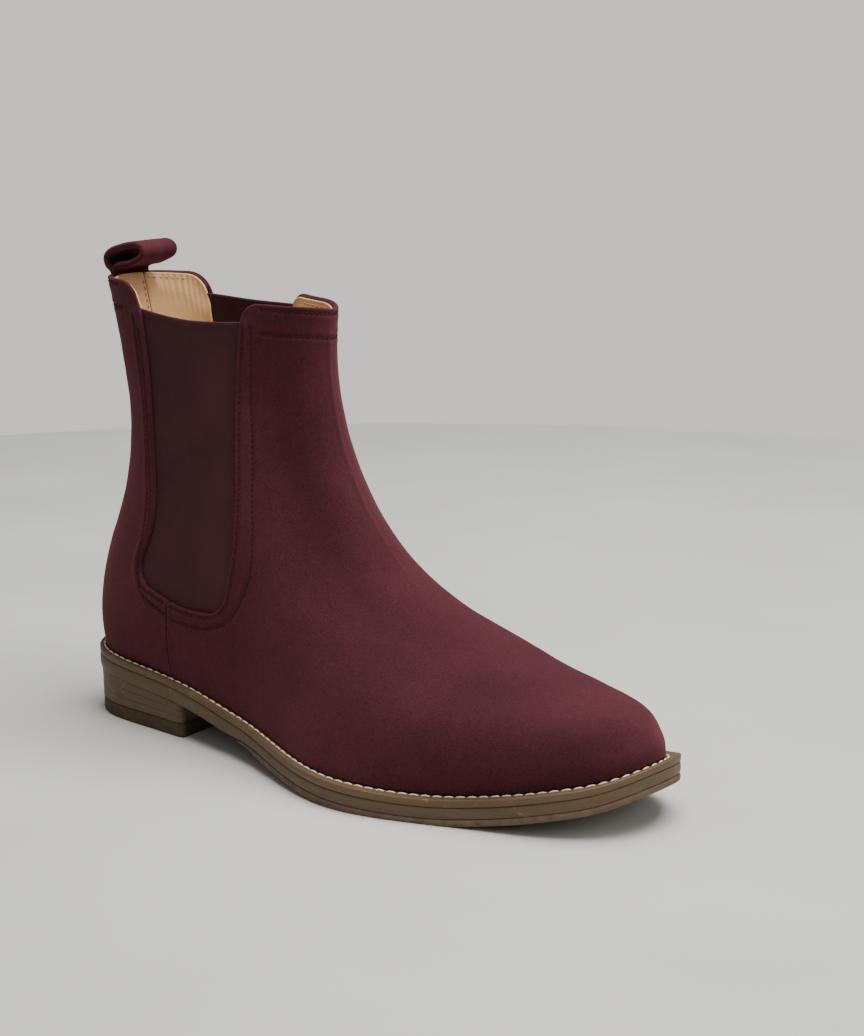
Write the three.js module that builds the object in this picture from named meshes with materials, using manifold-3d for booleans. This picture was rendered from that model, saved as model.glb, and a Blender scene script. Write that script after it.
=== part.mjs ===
// Chelsea boot, right foot: a welted ankle boot with two elastic gores and a pull loop.
//
// Frame: millimetres, +X to the toe, +Y to the medial (inner) side, +Z up, the floor at Z = 0,
// origin under the middle of the boot. Everything is shaped in the last's frame first, where
// X = 0 is the back of the heel and Y = 0 runs through the heel and the toe, and is then turned
// and moved into the boot's frame by `place`.
import * as THREE from "three";
import { mergeVertices } from "three/addons/utils/BufferGeometryUtils.js";
import Module from "manifold-3d";

const wasm = await Module();
wasm.setup();

// ---------- Driving dimensions ----------

const GAP = 0.3; // clearance between neighbouring pieces
const SWING = 2.5; // degrees the last is turned inwards, so that the sole lies along X
const CENTRE = { x: 150.2, y: -2 }; // middle of the sole in the turned frame

// Height of the feather line (where the upper meets the welt) along the last.
const FEATHER = [
  [0, 31],
  [35, 28.2],
  [72, 24.6],
  [110, 18.4],
  [150, 13.3],
  [190, 11],
  [230, 11],
  [270, 18],
  [290, 23.2],
  [306, 31],
];

// The last in side view. Each row runs from the back seam to the front ridge, and v goes from
// 0 at the feather line to 1 just above the topline.
const ROWS = [
  { v: 0.0, back: [2, 31], front: [295, 25.3] },
  { v: 0.1, back: [0.5, 43.5], front: [293, 35.5] },
  { v: 0.2, back: [1, 58], front: [284, 45.3] },
  { v: 0.32, back: [4.5, 75], front: [249, 52] },
  { v: 0.44, back: [12, 95.5], front: [208, 61.5] },
  { v: 0.56, back: [17.5, 118.5], front: [170.5, 83] },
  { v: 0.7, back: [18, 143], front: [143, 118] },
  { v: 0.84, back: [14, 168], front: [131, 153] },
  { v: 1.0, back: [5.5, 202], front: [130, 196] },
];

// Widths of a row: the radius round the back, half-widths at the stations below, and the radius
// round the front.
const STATIONS = [0, 0.12, 0.36, 0.62, 0.85, 1];
const WIDTHS = {
  lateral: [
    { v: 0.0, w: [30, 29.5, 38, 59.5, 40.5, 31] },
    { v: 0.12, w: [31, 33, 37.5, 55.5, 42.5, 31] },
    { v: 0.35, w: [27, 29, 34, 39, 28.5, 18] },
    { v: 0.65, w: [20, 21, 28, 26.5, 17, 15] },
    { v: 1.0, w: [21, 20.5, 24, 20.5, 14.5, 15] },
  ],
  medial: [
    { v: 0.0, w: [30, 28.5, 27, 40, 32, 26] },
    { v: 0.12, w: [31, 31, 30, 43, 36, 25] },
    { v: 0.35, w: [27, 29, 33, 37, 31, 20] },
    { v: 0.65, w: [20, 21, 28, 26.5, 19, 16] },
    { v: 1.0, w: [21, 20.5, 24, 20.5, 14.5, 15] },
  ],
};

// Layers of the upper, as depths below its outer face.
const SUEDE = { out: 0, in: 1.6 };
const MIDDLE = { out: 1.9, in: 3.1 };
const LINING = { out: 3.4, in: 4.4 };

// Side-view outlines of the upper.
const TOP_BACK = 198.5;
const TOP_FRONT = 192.5;
const SIDE_SEAM_X = 64.2;
const GORE_MARGIN = 6; // how far the gore runs under the suede
const GORE_TOP = { lateral: [187, 184.5], medial: [189.5, 189.5] };
const TAPE = { height: 13, edge: 1 };
const BACK_STRIP = 9; // half the width of the strip over the back seam
const PUFF_START = 240;

// The sole.
const WELT = { height: 3.2, toe: 6, side: 4.3, waist: 3, heel: 3.2 };
const RIB = { inset: 8.5, width: 2 };
const MIDSOLE = { seat: 6, forepart: 4.6 };
const HALF_SOLE = { start: 112, full: 130, edge: 0.6, height: 2.6 };
const HEEL = { breast: 71, topPiece: 6.5, lifts: 3, taper: 1.6, centre: 38 };
const NAILS = [
  [16, 0],
  [28, -17],
  [28, 17],
  [56, -19],
  [56, 19],
];
const NAIL_RADIUS = 1;
const SHANK = { from: 36, to: 152, width: 12, height: 1.8 };
const INSOLE = { inset: 5.2, height: 2.5 };
const SOCK_HEIGHT = 0.9;
const INNER_CLEARANCE = 0.2; // further room round the pieces inside
const HEEL_PAD = { length: 70, height: 1.8 };
const THREAD = { inset: 1.4, width: 1, height: 0.8 };

// The pull loop: a folded band, here lying forward over the opening.
const LOOP = { width: 22, thickness: 2, tail: 20 };

// Mesh steps.
const ROUND_STEPS = 34; // round a whole wall of the upper
const HEIGHT_STEPS = 12;
const OUTLINE_STEPS = 38; // round the sole
const LENGTH_STEP = 22; // along the sole

// Beyond everything, for cutting.
const FAR = 120;
const REAR = -20;
const AHEAD = 320;
const BELOW = -5;
const ABOVE = 230;
const UPRIGHT_TOP = 45; // top of the sole's cutting blocks

// How far the walls run past the feather line and the topline before they are cut, as v.
const WALL = { low: -0.08, high: 1.02 };

// ---------- Materials ----------

function paint(color, roughness, metalness = 0) {
  return new THREE.MeshStandardMaterial({ color, roughness, metalness });
}

const SUEDE_PAINT = paint(0x5a2c33, 0.95);
const GORE_PAINT = paint(0x421f2a, 0.9);
const LINING_PAINT = paint(0xd9b184, 0.7);
const STIFFENER_PAINT = paint(0xb8ad98, 0.8);
const WELT_PAINT = paint(0x7a5c42, 0.6);
const LEATHER_PAINT = paint(0x7d6451, 0.6);
const RUBBER_PAINT = paint(0x3d322c, 0.85);
const THREAD_PAINT = paint(0xd8c9a8, 0.8);
const CORK_PAINT = paint(0xa37b52, 0.95);
const STEEL_PAINT = paint(0x9a9da0, 0.35, 1);
const BRASS_PAINT = paint(0xb08d4a, 0.4, 1);
const FOAM_PAINT = paint(0xe5dccb, 0.95);

// ---------- Curves ----------

// A smooth curve through points, with the slope at each point taken from its neighbours.
function curve(xs, ys) {
  const steps = xs.slice(1).map((x, i) => x - xs[i]);
  const slopes = steps.map((h, i) => (ys[i + 1] - ys[i]) / h);
  const last = xs.length - 1;
  const tangents = xs.map((_, i) => {
    if (i === 0 || i === last) return 0;
    return (slopes[i - 1] * steps[i] + slopes[i] * steps[i - 1]) / (steps[i - 1] + steps[i]);
  });
  tangents[0] = 1.5 * slopes[0] - 0.5 * tangents[1];
  tangents[last] = 1.5 * slopes[last - 1] - 0.5 * tangents[last - 1];
  return (x) => {
    let i = 0;
    while (i < last - 1 && x >= xs[i + 1]) i += 1;
    const h = steps[i];
    const t = (x - xs[i]) / h;
    const rise = t * t * (3 - 2 * t);
    const enter = t * (1 - t) * (1 - t);
    const leave = t * t * (t - 1);
    return (
      ys[i] + (ys[i + 1] - ys[i]) * rise + h * (tangents[i] * enter + tangents[i + 1] * leave)
    );
  };
}

function ease(t) {
  const c = Math.min(Math.max(t, 0), 1);
  return c * c * (3 - 2 * c);
}

function range(count) {
  return Array.from({ length: count }, (_, i) => i);
}

// ---------- The last ----------

const feather = curve(
  FEATHER.map((p) => p[0]),
  FEATHER.map((p) => p[1]),
);
const rowCurve = (end, axis) =>
  curve(
    ROWS.map((r) => r.v),
    ROWS.map((r) => r[end][axis]),
  );
const backX = rowCurve("back", 0);
const backZ = rowCurve("back", 1);
const frontX = rowCurve("front", 0);
const frontZ = rowCurve("front", 1);
const widthCurves = Object.fromEntries(
  Object.entries(WIDTHS).map(([side, rows]) => [
    side,
    STATIONS.map((_, k) =>
      curve(
        rows.map((r) => r.v),
        rows.map((r) => r.w[k]),
      ),
    ),
  ]),
);

// How far the side stands out at t, from 0 at the back of a row to 1 at its front. The value is
// divided by the sine of the row's angle, so that both ends come out round.
function fullness(side, t, v, length) {
  const values = widthCurves[side].map((f, k) => {
    const w = f(v);
    const station = STATIONS[k];
    if (station === 0 || station === 1) return Math.sqrt((w * length) / 2);
    return w / (2 * Math.sqrt(station * (1 - station)));
  });
  return curve(STATIONS, values)(t);
}

// A point on the outer face. s runs round the boot: 0 is the back seam, 0 to 1 the medial side,
// 1 the front ridge and 1 to 2 the lateral side.
function lastPoint(s, v) {
  const angle = Math.PI * s;
  const t = (1 - Math.cos(angle)) / 2;
  const x0 = backX(v);
  const length = frontX(v) - x0;
  const x = x0 + t * length;
  const side = Math.sin(angle) >= 0 ? "medial" : "lateral";
  const y = Math.sin(angle) * fullness(side, t, v, length);
  const straight = backZ(v) + (frontZ(v) - backZ(v)) * t;
  const base = feather(backX(0)) + (feather(frontX(0)) - feather(backX(0))) * t;
  const dip = (feather(x) - base) * (1 - ease(v / 0.45));
  return new THREE.Vector3(x, y, straight + dip);
}

function outward(s, v) {
  const e = 1e-3;
  const along = lastPoint(s + e, v).sub(lastPoint(s - e, v));
  const up = lastPoint(s, v + e).sub(lastPoint(s, v - e));
  return up.cross(along).normalize();
}

function wallPoint(s, v, depth) {
  return lastPoint(s, v).addScaledVector(outward(s, v), -depth);
}

// ---------- Solids ----------

function toSolid(geometry) {
  const bare = geometry.clone();
  bare.deleteAttribute("normal");
  bare.deleteAttribute("uv");
  const merged = mergeVertices(bare, 1e-4);
  const vertProperties = new Float32Array(merged.attributes.position.array);
  const triVerts = new Uint32Array(merged.index.array);
  return new wasm.Manifold(new wasm.Mesh({ numProp: 3, vertProperties, triVerts }));
}

function fromRings(rings, faces) {
  const points = rings.flat();
  const geometry = new THREE.BufferGeometry();
  geometry.setAttribute(
    "position",
    new THREE.Float32BufferAttribute(
      points.flatMap((p) => p.toArray()),
      3,
    ),
  );
  geometry.setIndex(faces);
  return toSolid(geometry);
}

// A closed tube through rings of the same number of points, with its last ring joined to its
// first. Each ring goes up the outer face and down the inner one, and the two faces are split
// into triangles the same way, so that neighbouring layers keep their gap.
function torusOf(rings) {
  const n = rings[0].length;
  const index = [];
  rings.forEach((_, i) => {
    const a = i * n;
    const b = ((i + 1) % rings.length) * n;
    range(n).forEach((j) => {
      const k = (j + 1) % n;
      if (j < n / 2) index.push(a + j, a + k, b + k, a + j, b + k, b + j);
      else index.push(a + j, a + k, b + j, a + k, b + k, b + j);
    });
  });
  return fromRings(rings, index);
}

function wallLevel(i) {
  return WALL.low + ((WALL.high - WALL.low) * i) / HEIGHT_STEPS;
}

// The whole wall of the upper between two depths, as a sleeve open at the top and the bottom.
function sleeve({ out, in: inner }) {
  const rings = range(ROUND_STEPS).map((k) => {
    const s = (2 * k) / ROUND_STEPS;
    const outerFace = range(HEIGHT_STEPS + 1).map((i) => wallPoint(s, wallLevel(i), out));
    const innerFace = range(HEIGHT_STEPS + 1).map((i) => wallPoint(s, wallLevel(i), inner));
    return [...outerFace, ...innerFace.reverse()];
  });
  return torusOf(rings);
}

// Everything inside a given depth, closed at the top and the bottom.
function core(depth) {
  const rings = range(HEIGHT_STEPS + 1).map((i) =>
    range(ROUND_STEPS).map((k) => wallPoint((2 * k) / ROUND_STEPS, wallLevel(i), depth)),
  );
  return stack(rings);
}

// A solid through closed rings from the lowest to the highest, each going clockwise seen from
// above.
function stack(rings) {
  const n = rings[0].length;
  const index = [];
  range(rings.length - 1).forEach((i) => {
    range(n).forEach((j) => {
      const k = (j + 1) % n;
      const [a, b, c, d] = [i * n + j, i * n + k, (i + 1) * n + k, (i + 1) * n + j];
      index.push(a, c, b, a, d, c);
    });
  });
  const flat = rings[0].map((p) => new THREE.Vector2(p.x, p.y));
  const caps = THREE.ShapeUtils.triangulateShape(flat, []);
  const top = (rings.length - 1) * n;
  caps.forEach(([a, b, c]) => {
    index.push(a, c, b);
    index.push(top + a, top + b, top + c);
  });
  return fromRings(rings, index);
}

// A side-view outline ([x, z] points) as a block right across the boot, or from one Y to another.
function acrossBoot(outline, fromY = -FAR, toY = FAR) {
  const shape = new THREE.Shape(outline.map(([x, z]) => new THREE.Vector2(x, z)));
  const block = new THREE.ExtrudeGeometry(shape, { depth: toY - fromY, bevelEnabled: false });
  block.rotateX(Math.PI / 2);
  block.translate(0, toY, 0);
  return toSolid(block);
}

function box(x0, x1, y0, y1, z0, z1) {
  const block = new THREE.BoxGeometry(x1 - x0, y1 - y0, z1 - z0);
  block.translate((x0 + x1) / 2, (y0 + y1) / 2, (z0 + z1) / 2);
  return toSolid(block);
}

// ---------- Outlines ----------

function arc(cx, cz, radius, fromDegrees, toDegrees, steps = 5) {
  return range(steps + 1).map((i) => {
    const angle = THREE.MathUtils.degToRad(
      fromDegrees + ((toDegrees - fromDegrees) * i) / steps,
    );
    return [cx + radius * Math.cos(angle), cz + radius * Math.sin(angle)];
  });
}

// The U-shaped window that a gore shows in, from its back top corner round to its front one.
// `grow` widens it on all sides.
function goreWindow(grow) {
  return [
    [42 - grow, 184],
    [46 - grow, 158],
    [48.5 - grow, 125],
    [51 - grow, 104],
    [49.7 - grow, 90],
    ...arc(53.5, 74.3, 9.3 + grow, 165, 250, 5),
    [66, 61 - grow],
    [76, 59.5 - grow],
    ...arc(87, 72.5, 13 + grow, 265, 355, 5),
    [101.8 + grow, 90],
    [100 + grow, 110],
    [96 + grow, 135],
    [94 + grow, 160],
    [94.5 + grow, 182],
  ];
}

function soleStations(from, to) {
  const count = Math.ceil((to - from) / LENGTH_STEP);
  return range(count + 1).map((i) => from + ((to - from) * i) / count);
}

// The side view of the suede and the lining: the feather line below, the topline above, and the
// gore window cut down into it.
function upperOutline() {
  const bottom = soleStations(REAR, AHEAD).map((x) => [x, feather(x) + GAP]);
  return [
    ...bottom,
    [AHEAD, TOP_FRONT],
    ...arc(103, TOP_FRONT - 8, 8, 90, 180),
    ...goreWindow(0).reverse(),
    ...arc(27, TOP_BACK - 13.5, 13.5, 25, 90),
    [REAR, TOP_BACK],
  ];
}

function goreOutline(side) {
  const [backTop, frontTop] = GORE_TOP[side];
  const window = goreWindow(GORE_MARGIN);
  const first = window[0];
  const last = window[window.length - 1];
  return [
    [first[0] + 0.4, backTop],
    ...window.slice(1, -1),
    [last[0], frontTop],
    [(first[0] + last[0]) / 2, Math.min(backTop, frontTop) - 0.8],
  ];
}

// The feather line seen from above, moved outwards by offset(s). Clockwise from the heel.
function soleOutline(offset) {
  return range(OUTLINE_STEPS).map((k) => {
    const s = (2 * k) / OUTLINE_STEPS;
    const e = 1e-3;
    const p = lastPoint(s, 0);
    const along = lastPoint(s + e, 0).sub(lastPoint(s - e, 0));
    const away = new THREE.Vector2(-along.y, along.x).normalize();
    return new THREE.Vector2(p.x, p.y).addScaledVector(away, offset(s));
  });
}

function weltWidth(s) {
  const t = (1 - Math.cos(Math.PI * s)) / 2;
  const width = curve([0, 0.3, 0.6, 1], [WELT.heel, WELT.waist, WELT.side, WELT.toe]);
  return width(t);
}

// A plan outline as an upright block, drawn in by `taper` at the floor.
function upright(outline, taper = 0) {
  const centre = new THREE.Vector2(HEEL.centre, 0);
  const floor = outline.map((p) => {
    const toCentre = centre.clone().sub(p).normalize();
    return p.clone().addScaledVector(toCentre, taper);
  });
  const ring = (points, z) => points.map((p) => new THREE.Vector3(p.x, p.y, z));
  return stack([ring(floor, BELOW), ring(outline, UPRIGHT_TOP)]);
}

// A layer of the sole between two heights that change along the boot.
function between(lower, upper, from = REAR, to = AHEAD) {
  const xs = soleStations(from, to);
  const outline = [...xs.map((x) => [x, lower(x)]), ...xs.reverse().map((x) => [x, upper(x)])];
  return acrossBoot(outline);
}

// ---------- Heights of the sole's layers ----------

const weltBottom = (x) => feather(x) - WELT.height;
const midsoleTop = (x) => weltBottom(x) - GAP;
const midsoleBottom = (x) => {
  const thin = ease((x - 95) / 30);
  return midsoleTop(x) - MIDSOLE.seat + (MIDSOLE.seat - MIDSOLE.forepart) * thin;
};
const halfSoleTop = (x) => midsoleBottom(x) - GAP;
const halfSoleBottom = (x) => {
  const grown = ease((x - HALF_SOLE.start) / (HALF_SOLE.full - HALF_SOLE.start));
  const height = HALF_SOLE.edge + (HALF_SOLE.height - HALF_SOLE.edge) * grown;
  return Math.max(0, halfSoleTop(x) - height);
};
const insoleBottom = (x) => feather(x) + GAP;
const insoleTop = (x) => insoleBottom(x) + INSOLE.height;
const sockBottom = (x) => {
  const over = 1 - ease((x - HEEL_PAD.length + 6) / 18);
  return insoleTop(x) + GAP + (HEEL_PAD.height + GAP) * over;
};

// ---------- Pieces ----------

const boot = new THREE.Group();
boot.name = "chelsea_boot";

function place(geometry) {
  geometry.rotateZ(THREE.MathUtils.degToRad(SWING));
  geometry.translate(-CENTRE.x, -CENTRE.y, 0);
  return geometry;
}

function add(name, solid, material) {
  const { vertProperties, triVerts } = solid.getMesh();
  const geometry = new THREE.BufferGeometry();
  geometry.setAttribute("position", new THREE.Float32BufferAttribute(vertProperties, 3));
  geometry.setIndex(Array.from(triVerts));
  const mesh = new THREE.Mesh(place(geometry), material);
  mesh.name = name;
  boot.add(mesh);
}

const sides = {
  lateral: [-FAR, -GAP / 2],
  medial: [GAP / 2, FAR],
};
const slab = ([y0, y1], x0, x1) => box(x0, x1, y0, y1, BELOW, ABOVE);

// The suede: the whole front in one piece, and a quarter behind the side seam on each side.
function addSuede() {
  const suede = sleeve(SUEDE).intersect(acrossBoot(upperOutline()));
  add("vamp", suede.intersect(slab([-FAR, FAR], SIDE_SEAM_X + GAP / 2, AHEAD)), SUEDE_PAINT);
  for (const [side, span] of Object.entries(sides)) {
    const quarter = suede.intersect(slab(span, REAR, SIDE_SEAM_X - GAP / 2));
    add(`back_quarter_${side}`, quarter, SUEDE_PAINT);
  }
}

// The lining: the front, two quarters, and a strip that covers the back seam inside.
function addLining() {
  const lining = sleeve(LINING).intersect(acrossBoot(upperOutline()));
  add("lining_front", lining.intersect(slab([-FAR, FAR], SIDE_SEAM_X + GAP / 2, AHEAD)), LINING_PAINT);
  const spans = { lateral: [-FAR, -BACK_STRIP - GAP / 2], medial: [BACK_STRIP + GAP / 2, FAR] };
  for (const [side, span] of Object.entries(spans)) {
    add(`lining_${side}`, lining.intersect(slab(span, REAR, SIDE_SEAM_X - GAP / 2)), LINING_PAINT);
  }
  const backStrip = lining.intersect(slab([-BACK_STRIP + GAP / 2, BACK_STRIP - GAP / 2], REAR, 40));
  add("lining_back_strip", backStrip, LINING_PAINT);
}

// What lies between the suede and the lining.
function addMiddleLayer() {
  const middle = sleeve(MIDDLE);
  for (const [side, span] of Object.entries(sides)) {
    const gore = middle.intersect(acrossBoot(goreOutline(side), ...span));
    add(`gore_${side}`, gore, GORE_PAINT);
  }
  const counter = [
    [REAR, 20],
    [62, 20],
    ...arc(54, 42, 8, 0, 90),
    ...arc(40, 56, 6, 270, 180),
    ...arc(24, 62, 10, 0, 90),
    [REAR, 72],
  ];
  const aboveFeather = between((x) => feather(x) + GAP, () => FAR);
  add("heel_counter", middle.intersect(acrossBoot(counter)).intersect(aboveFeather), STIFFENER_PAINT);
  const puff = middle.intersect(slab([-FAR, FAR], PUFF_START, AHEAD)).intersect(aboveFeather);
  add("toe_puff", puff, STIFFENER_PAINT);

  const loopSide = LOOP.width / 2 + GAP;
  const backTape = [
    [REAR, TOP_BACK - TAPE.height],
    [34, TOP_BACK - TAPE.height],
    [31, TOP_BACK - 4],
    [26, TOP_BACK - TAPE.edge],
    [REAR, TOP_BACK - TAPE.edge],
  ];
  add("topline_tape_lateral", middle.intersect(acrossBoot(backTape, -FAR, -loopSide)), STIFFENER_PAINT);
  add("topline_tape_medial", middle.intersect(acrossBoot(backTape, loopSide, FAR)), STIFFENER_PAINT);
  const frontTape = [
    [102, TOP_FRONT - TAPE.height],
    [140, TOP_FRONT - TAPE.height],
    [140, TOP_FRONT - TAPE.edge],
    [104, TOP_FRONT - TAPE.edge],
    [102, TOP_FRONT - 3],
  ];
  add("topline_tape_front", middle.intersect(acrossBoot(frontTape)), STIFFENER_PAINT);

  const tail = slab([-LOOP.width / 2, LOOP.width / 2], REAR, 30);
  const tailHeight = box(REAR, 30, -FAR, FAR, TOP_BACK - LOOP.tail, TOP_BACK - GAP);
  add("pull_loop_anchor", middle.intersect(tail).intersect(tailHeight), SUEDE_PAINT);
}

// The loop's side view: out of the topline, back over itself and forward to the fold, and
// underneath back to the topline. The two ends meet at the neck under the pivot.
function addPullLoop() {
  const route = [
    [7.2, 200.5],
    [5.2, 203.2],
    [6.2, 207],
    [10.5, 210.1],
    [18, 212.2],
    [24.8, 213.2],
    [29.4, 210.9],
    [28.2, 207],
    [21, 203.9],
    [14.6, 202.7],
    [11.6, 201.7],
    [9.4, 200.5],
  ].map(([x, z]) => new THREE.Vector3(x, z, 0));
  const steps = 40;
  const path = new THREE.CatmullRomCurve3(route, true);
  const offsetPoint = (t, side) => {
    const p = path.getPoint(t);
    const tangent = path.getTangent(t);
    return [
      p.x - (side * tangent.y * LOOP.thickness) / 2,
      p.y + (side * tangent.x * LOOP.thickness) / 2,
    ];
  };
  const outer = range(steps).map((i) => offsetPoint(i / steps, 1));
  const inner = range(steps).map((i) => offsetPoint(i / steps, -1));
  const across = [-LOOP.width / 2, LOOP.width / 2];
  const band = acrossBoot(outer, ...across).subtract(acrossBoot(inner));
  add("pull_loop", band, SUEDE_PAINT);
}

function addWelt() {
  const outside = upright(soleOutline(weltWidth));
  const inside = upright(soleOutline(() => -RIB.inset + GAP));
  const height = between(weltBottom, feather);
  add("welt", outside.subtract(inside).intersect(height), WELT_PAINT);

  const threadOut = upright(soleOutline(() => THREAD.inset + THREAD.width));
  const threadIn = upright(soleOutline(() => THREAD.inset));
  const bottom = (x) => feather(x) + GAP;
  const threadHeight = between(bottom, (x) => bottom(x) + THREAD.height);
  add("welt_stitching", threadOut.subtract(threadIn).intersect(threadHeight), THREAD_PAINT);
}

function addSoles() {
  const plan = upright(soleOutline(weltWidth));
  add("midsole", plan.intersect(between(midsoleBottom, midsoleTop)), LEATHER_PAINT);
  const forepart = between(halfSoleBottom, halfSoleTop, HALF_SOLE.start, AHEAD);
  add("half_sole", plan.intersect(forepart), RUBBER_PAINT);
}

function nailHoles(radius, z0, z1) {
  return NAILS.map(([x, y]) => {
    const nail = new THREE.CylinderGeometry(radius, radius, z1 - z0, 8);
    nail.rotateX(Math.PI / 2);
    nail.translate(x, y, (z0 + z1) / 2);
    return toSolid(nail);
  });
}

function addHeel() {
  const plan = upright(soleOutline(weltWidth), HEEL.taper).intersect(
    slab([-FAR, FAR], REAR, HEEL.breast),
  );
  add("heel_top_piece", plan.intersect(between(() => 0, () => HEEL.topPiece)), RUBBER_PAINT);

  const base = HEEL.topPiece + GAP;
  const seat = (x) => midsoleBottom(x) - GAP;
  const level = (x, i) => base + ((seat(x) - base) * i) / HEEL.lifts;
  const holes = nailHoles(NAIL_RADIUS + GAP, BELOW, UPRIGHT_TOP);
  range(HEEL.lifts).forEach((i) => {
    const top = (x) => (i === HEEL.lifts - 1 ? seat(x) : level(x, i + 1) - GAP);
    let lift = plan.intersect(between((x) => level(x, i), top, REAR, HEEL.breast + 1));
    for (const hole of holes) {
      lift = lift.subtract(hole);
    }
    add(`heel_lift_${i + 1}`, lift, LEATHER_PAINT);
  });
  NAILS.forEach(([x], i) => {
    const nail = nailHoles(NAIL_RADIUS, base, seat(x) - 0.5)[i];
    add(`heel_nail_${i + 1}`, nail, BRASS_PAINT);
  });
}

function addInside() {
  const plan = (inset) => upright(soleOutline(() => -inset));
  const inside = core(LINING.in + GAP + INNER_CLEARANCE);
  const ribOut = plan(RIB.inset);
  const ribIn = plan(RIB.inset + RIB.width);
  const low = (x) => weltBottom(x) + INNER_CLEARANCE;
  add("insole_rib", ribOut.subtract(ribIn).intersect(between(low, feather)), LINING_PAINT);

  const halfShank = SHANK.width / 2;
  const slotSide = halfShank + GAP;
  const slot = box(SHANK.from - GAP, SHANK.to + GAP, -slotSide, slotSide, 0, UPRIGHT_TOP);
  const cork = plan(RIB.inset + RIB.width + GAP).intersect(between(low, feather));
  add("cork_filler", cork.subtract(slot), CORK_PAINT);
  const shankTop = (x) => feather(x) - 3 * INNER_CLEARANCE;
  const shank = box(SHANK.from, SHANK.to, -halfShank, halfShank, 0, UPRIGHT_TOP).intersect(
    between((x) => shankTop(x) - SHANK.height, shankTop),
  );
  add("shank", shank, STEEL_PAINT);

  const board = plan(INSOLE.inset).intersect(between(insoleBottom, insoleTop)).intersect(inside);
  add("insole_board", board, STIFFENER_PAINT);
  const padTop = (x) => insoleTop(x) + GAP + HEEL_PAD.height * (1 - ease((x - HEEL_PAD.length + 12) / 18));
  const pad = plan(INSOLE.inset + 1)
    .intersect(between((x) => insoleTop(x) + GAP, padTop, REAR, HEEL_PAD.length))
    .intersect(inside);
  add("heel_pad", pad, FOAM_PAINT);
  const sock = plan(INSOLE.inset)
    .intersect(between(sockBottom, (x) => sockBottom(x) + SOCK_HEIGHT))
    .intersect(inside);
  add("sock_liner", sock, LINING_PAINT);
}

addSuede();
addLining();
addMiddleLayer();
addPullLoop();
addWelt();
addSoles();
addHeel();
addInside();

export default boot;
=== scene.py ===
"""Chelsea boot, right foot: the finished surfaces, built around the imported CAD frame.

The upper, lining and sole follow the same last as the CAD solids. They are shaped here in the
last's frame, in millimetres (X = 0 at the back of the heel, Y = 0 through heel and toe, +Y to
the medial side), and `to_frame` turns and scales them into the frame's metres.
"""

import math

import bpy
import numpy as np
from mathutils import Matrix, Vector, noise


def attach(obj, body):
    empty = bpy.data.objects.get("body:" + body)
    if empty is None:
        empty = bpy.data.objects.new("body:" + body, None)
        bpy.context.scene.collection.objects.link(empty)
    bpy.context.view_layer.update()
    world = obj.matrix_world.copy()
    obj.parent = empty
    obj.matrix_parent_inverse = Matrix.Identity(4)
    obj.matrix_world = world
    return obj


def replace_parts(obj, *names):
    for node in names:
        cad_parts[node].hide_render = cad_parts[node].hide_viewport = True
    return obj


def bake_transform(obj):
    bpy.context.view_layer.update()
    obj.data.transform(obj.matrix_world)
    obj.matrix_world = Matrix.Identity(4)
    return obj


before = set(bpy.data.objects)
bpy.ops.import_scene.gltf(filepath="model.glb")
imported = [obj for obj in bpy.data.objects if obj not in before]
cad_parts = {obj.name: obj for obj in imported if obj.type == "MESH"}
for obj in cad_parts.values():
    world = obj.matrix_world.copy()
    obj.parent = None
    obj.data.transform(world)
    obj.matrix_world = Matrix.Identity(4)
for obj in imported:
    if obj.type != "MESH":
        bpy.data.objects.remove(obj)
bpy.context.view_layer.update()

# ---------- Driving dimensions, in millimetres ----------

MM = 0.001
SWING = math.radians(2.5)
CENTRE = (150.2, -2.0)
GAP = 0.3

FEATHER = [
    (0, 31),
    (35, 28.2),
    (72, 24.6),
    (110, 18.4),
    (150, 13.3),
    (190, 11),
    (230, 11),
    (270, 18),
    (290, 23.2),
    (306, 31),
]

# Side view of the last: v, then (x, z) at the back seam and at the front ridge.
ROWS = [
    (0.0, (2, 31), (295, 25.3)),
    (0.1, (0.5, 43.5), (293, 35.5)),
    (0.2, (1, 58), (284, 45.3)),
    (0.32, (4.5, 75), (249, 52)),
    (0.44, (12, 95.5), (208, 61.5)),
    (0.56, (17.5, 118.5), (170.5, 83)),
    (0.7, (18, 143), (143, 118)),
    (0.84, (14, 168), (131, 153)),
    (1.0, (5.5, 202), (130, 196)),
]

# Radius round the back, half-widths at the stations, and radius round the front, for each v.
STATIONS = [0, 0.12, 0.36, 0.62, 0.85, 1]
WIDTH_ROWS = [0, 0.12, 0.35, 0.65, 1]
WIDTHS = {
    "lateral": [
        (30, 29.5, 38, 59.5, 40.5, 31),
        (31, 33, 37.5, 55.5, 42.5, 31),
        (27, 29, 34, 39, 28.5, 18),
        (20, 21, 28, 26.5, 17, 15),
        (21, 20.5, 24, 20.5, 14.5, 15),
    ],
    "medial": [
        (30, 28.5, 27, 40, 32, 26),
        (31, 31, 30, 43, 36, 25),
        (27, 29, 33, 37, 31, 20),
        (20, 21, 28, 26.5, 19, 16),
        (21, 20.5, 24, 20.5, 14.5, 15),
    ],
}

SUEDE_THICK = 1.6
TAPE_DEPTH, TAPE_THICK = 1.7, 0.25
GORE_DEPTH, GORE_THICK = 1.9, 1.2
LINING_DEPTH, LINING_THICK = 3.4, 1.0
LINING_RISE = 1.25  # how far the lining comes out to meet the suede at the topline

TOP_BACK = 198.5
TOP_FRONT = 192.5
SIDE_SEAM_X = 64.2
GORE_MARGIN = 6
GORE_TOP = {"lateral": (187, 184.5), "medial": (189.5, 189.5)}
TAPE_HEIGHT = 13
FRONT_LIFT, FRONT_DIP = 3.2, 1.8
BACK_STRIP = 9

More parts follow.
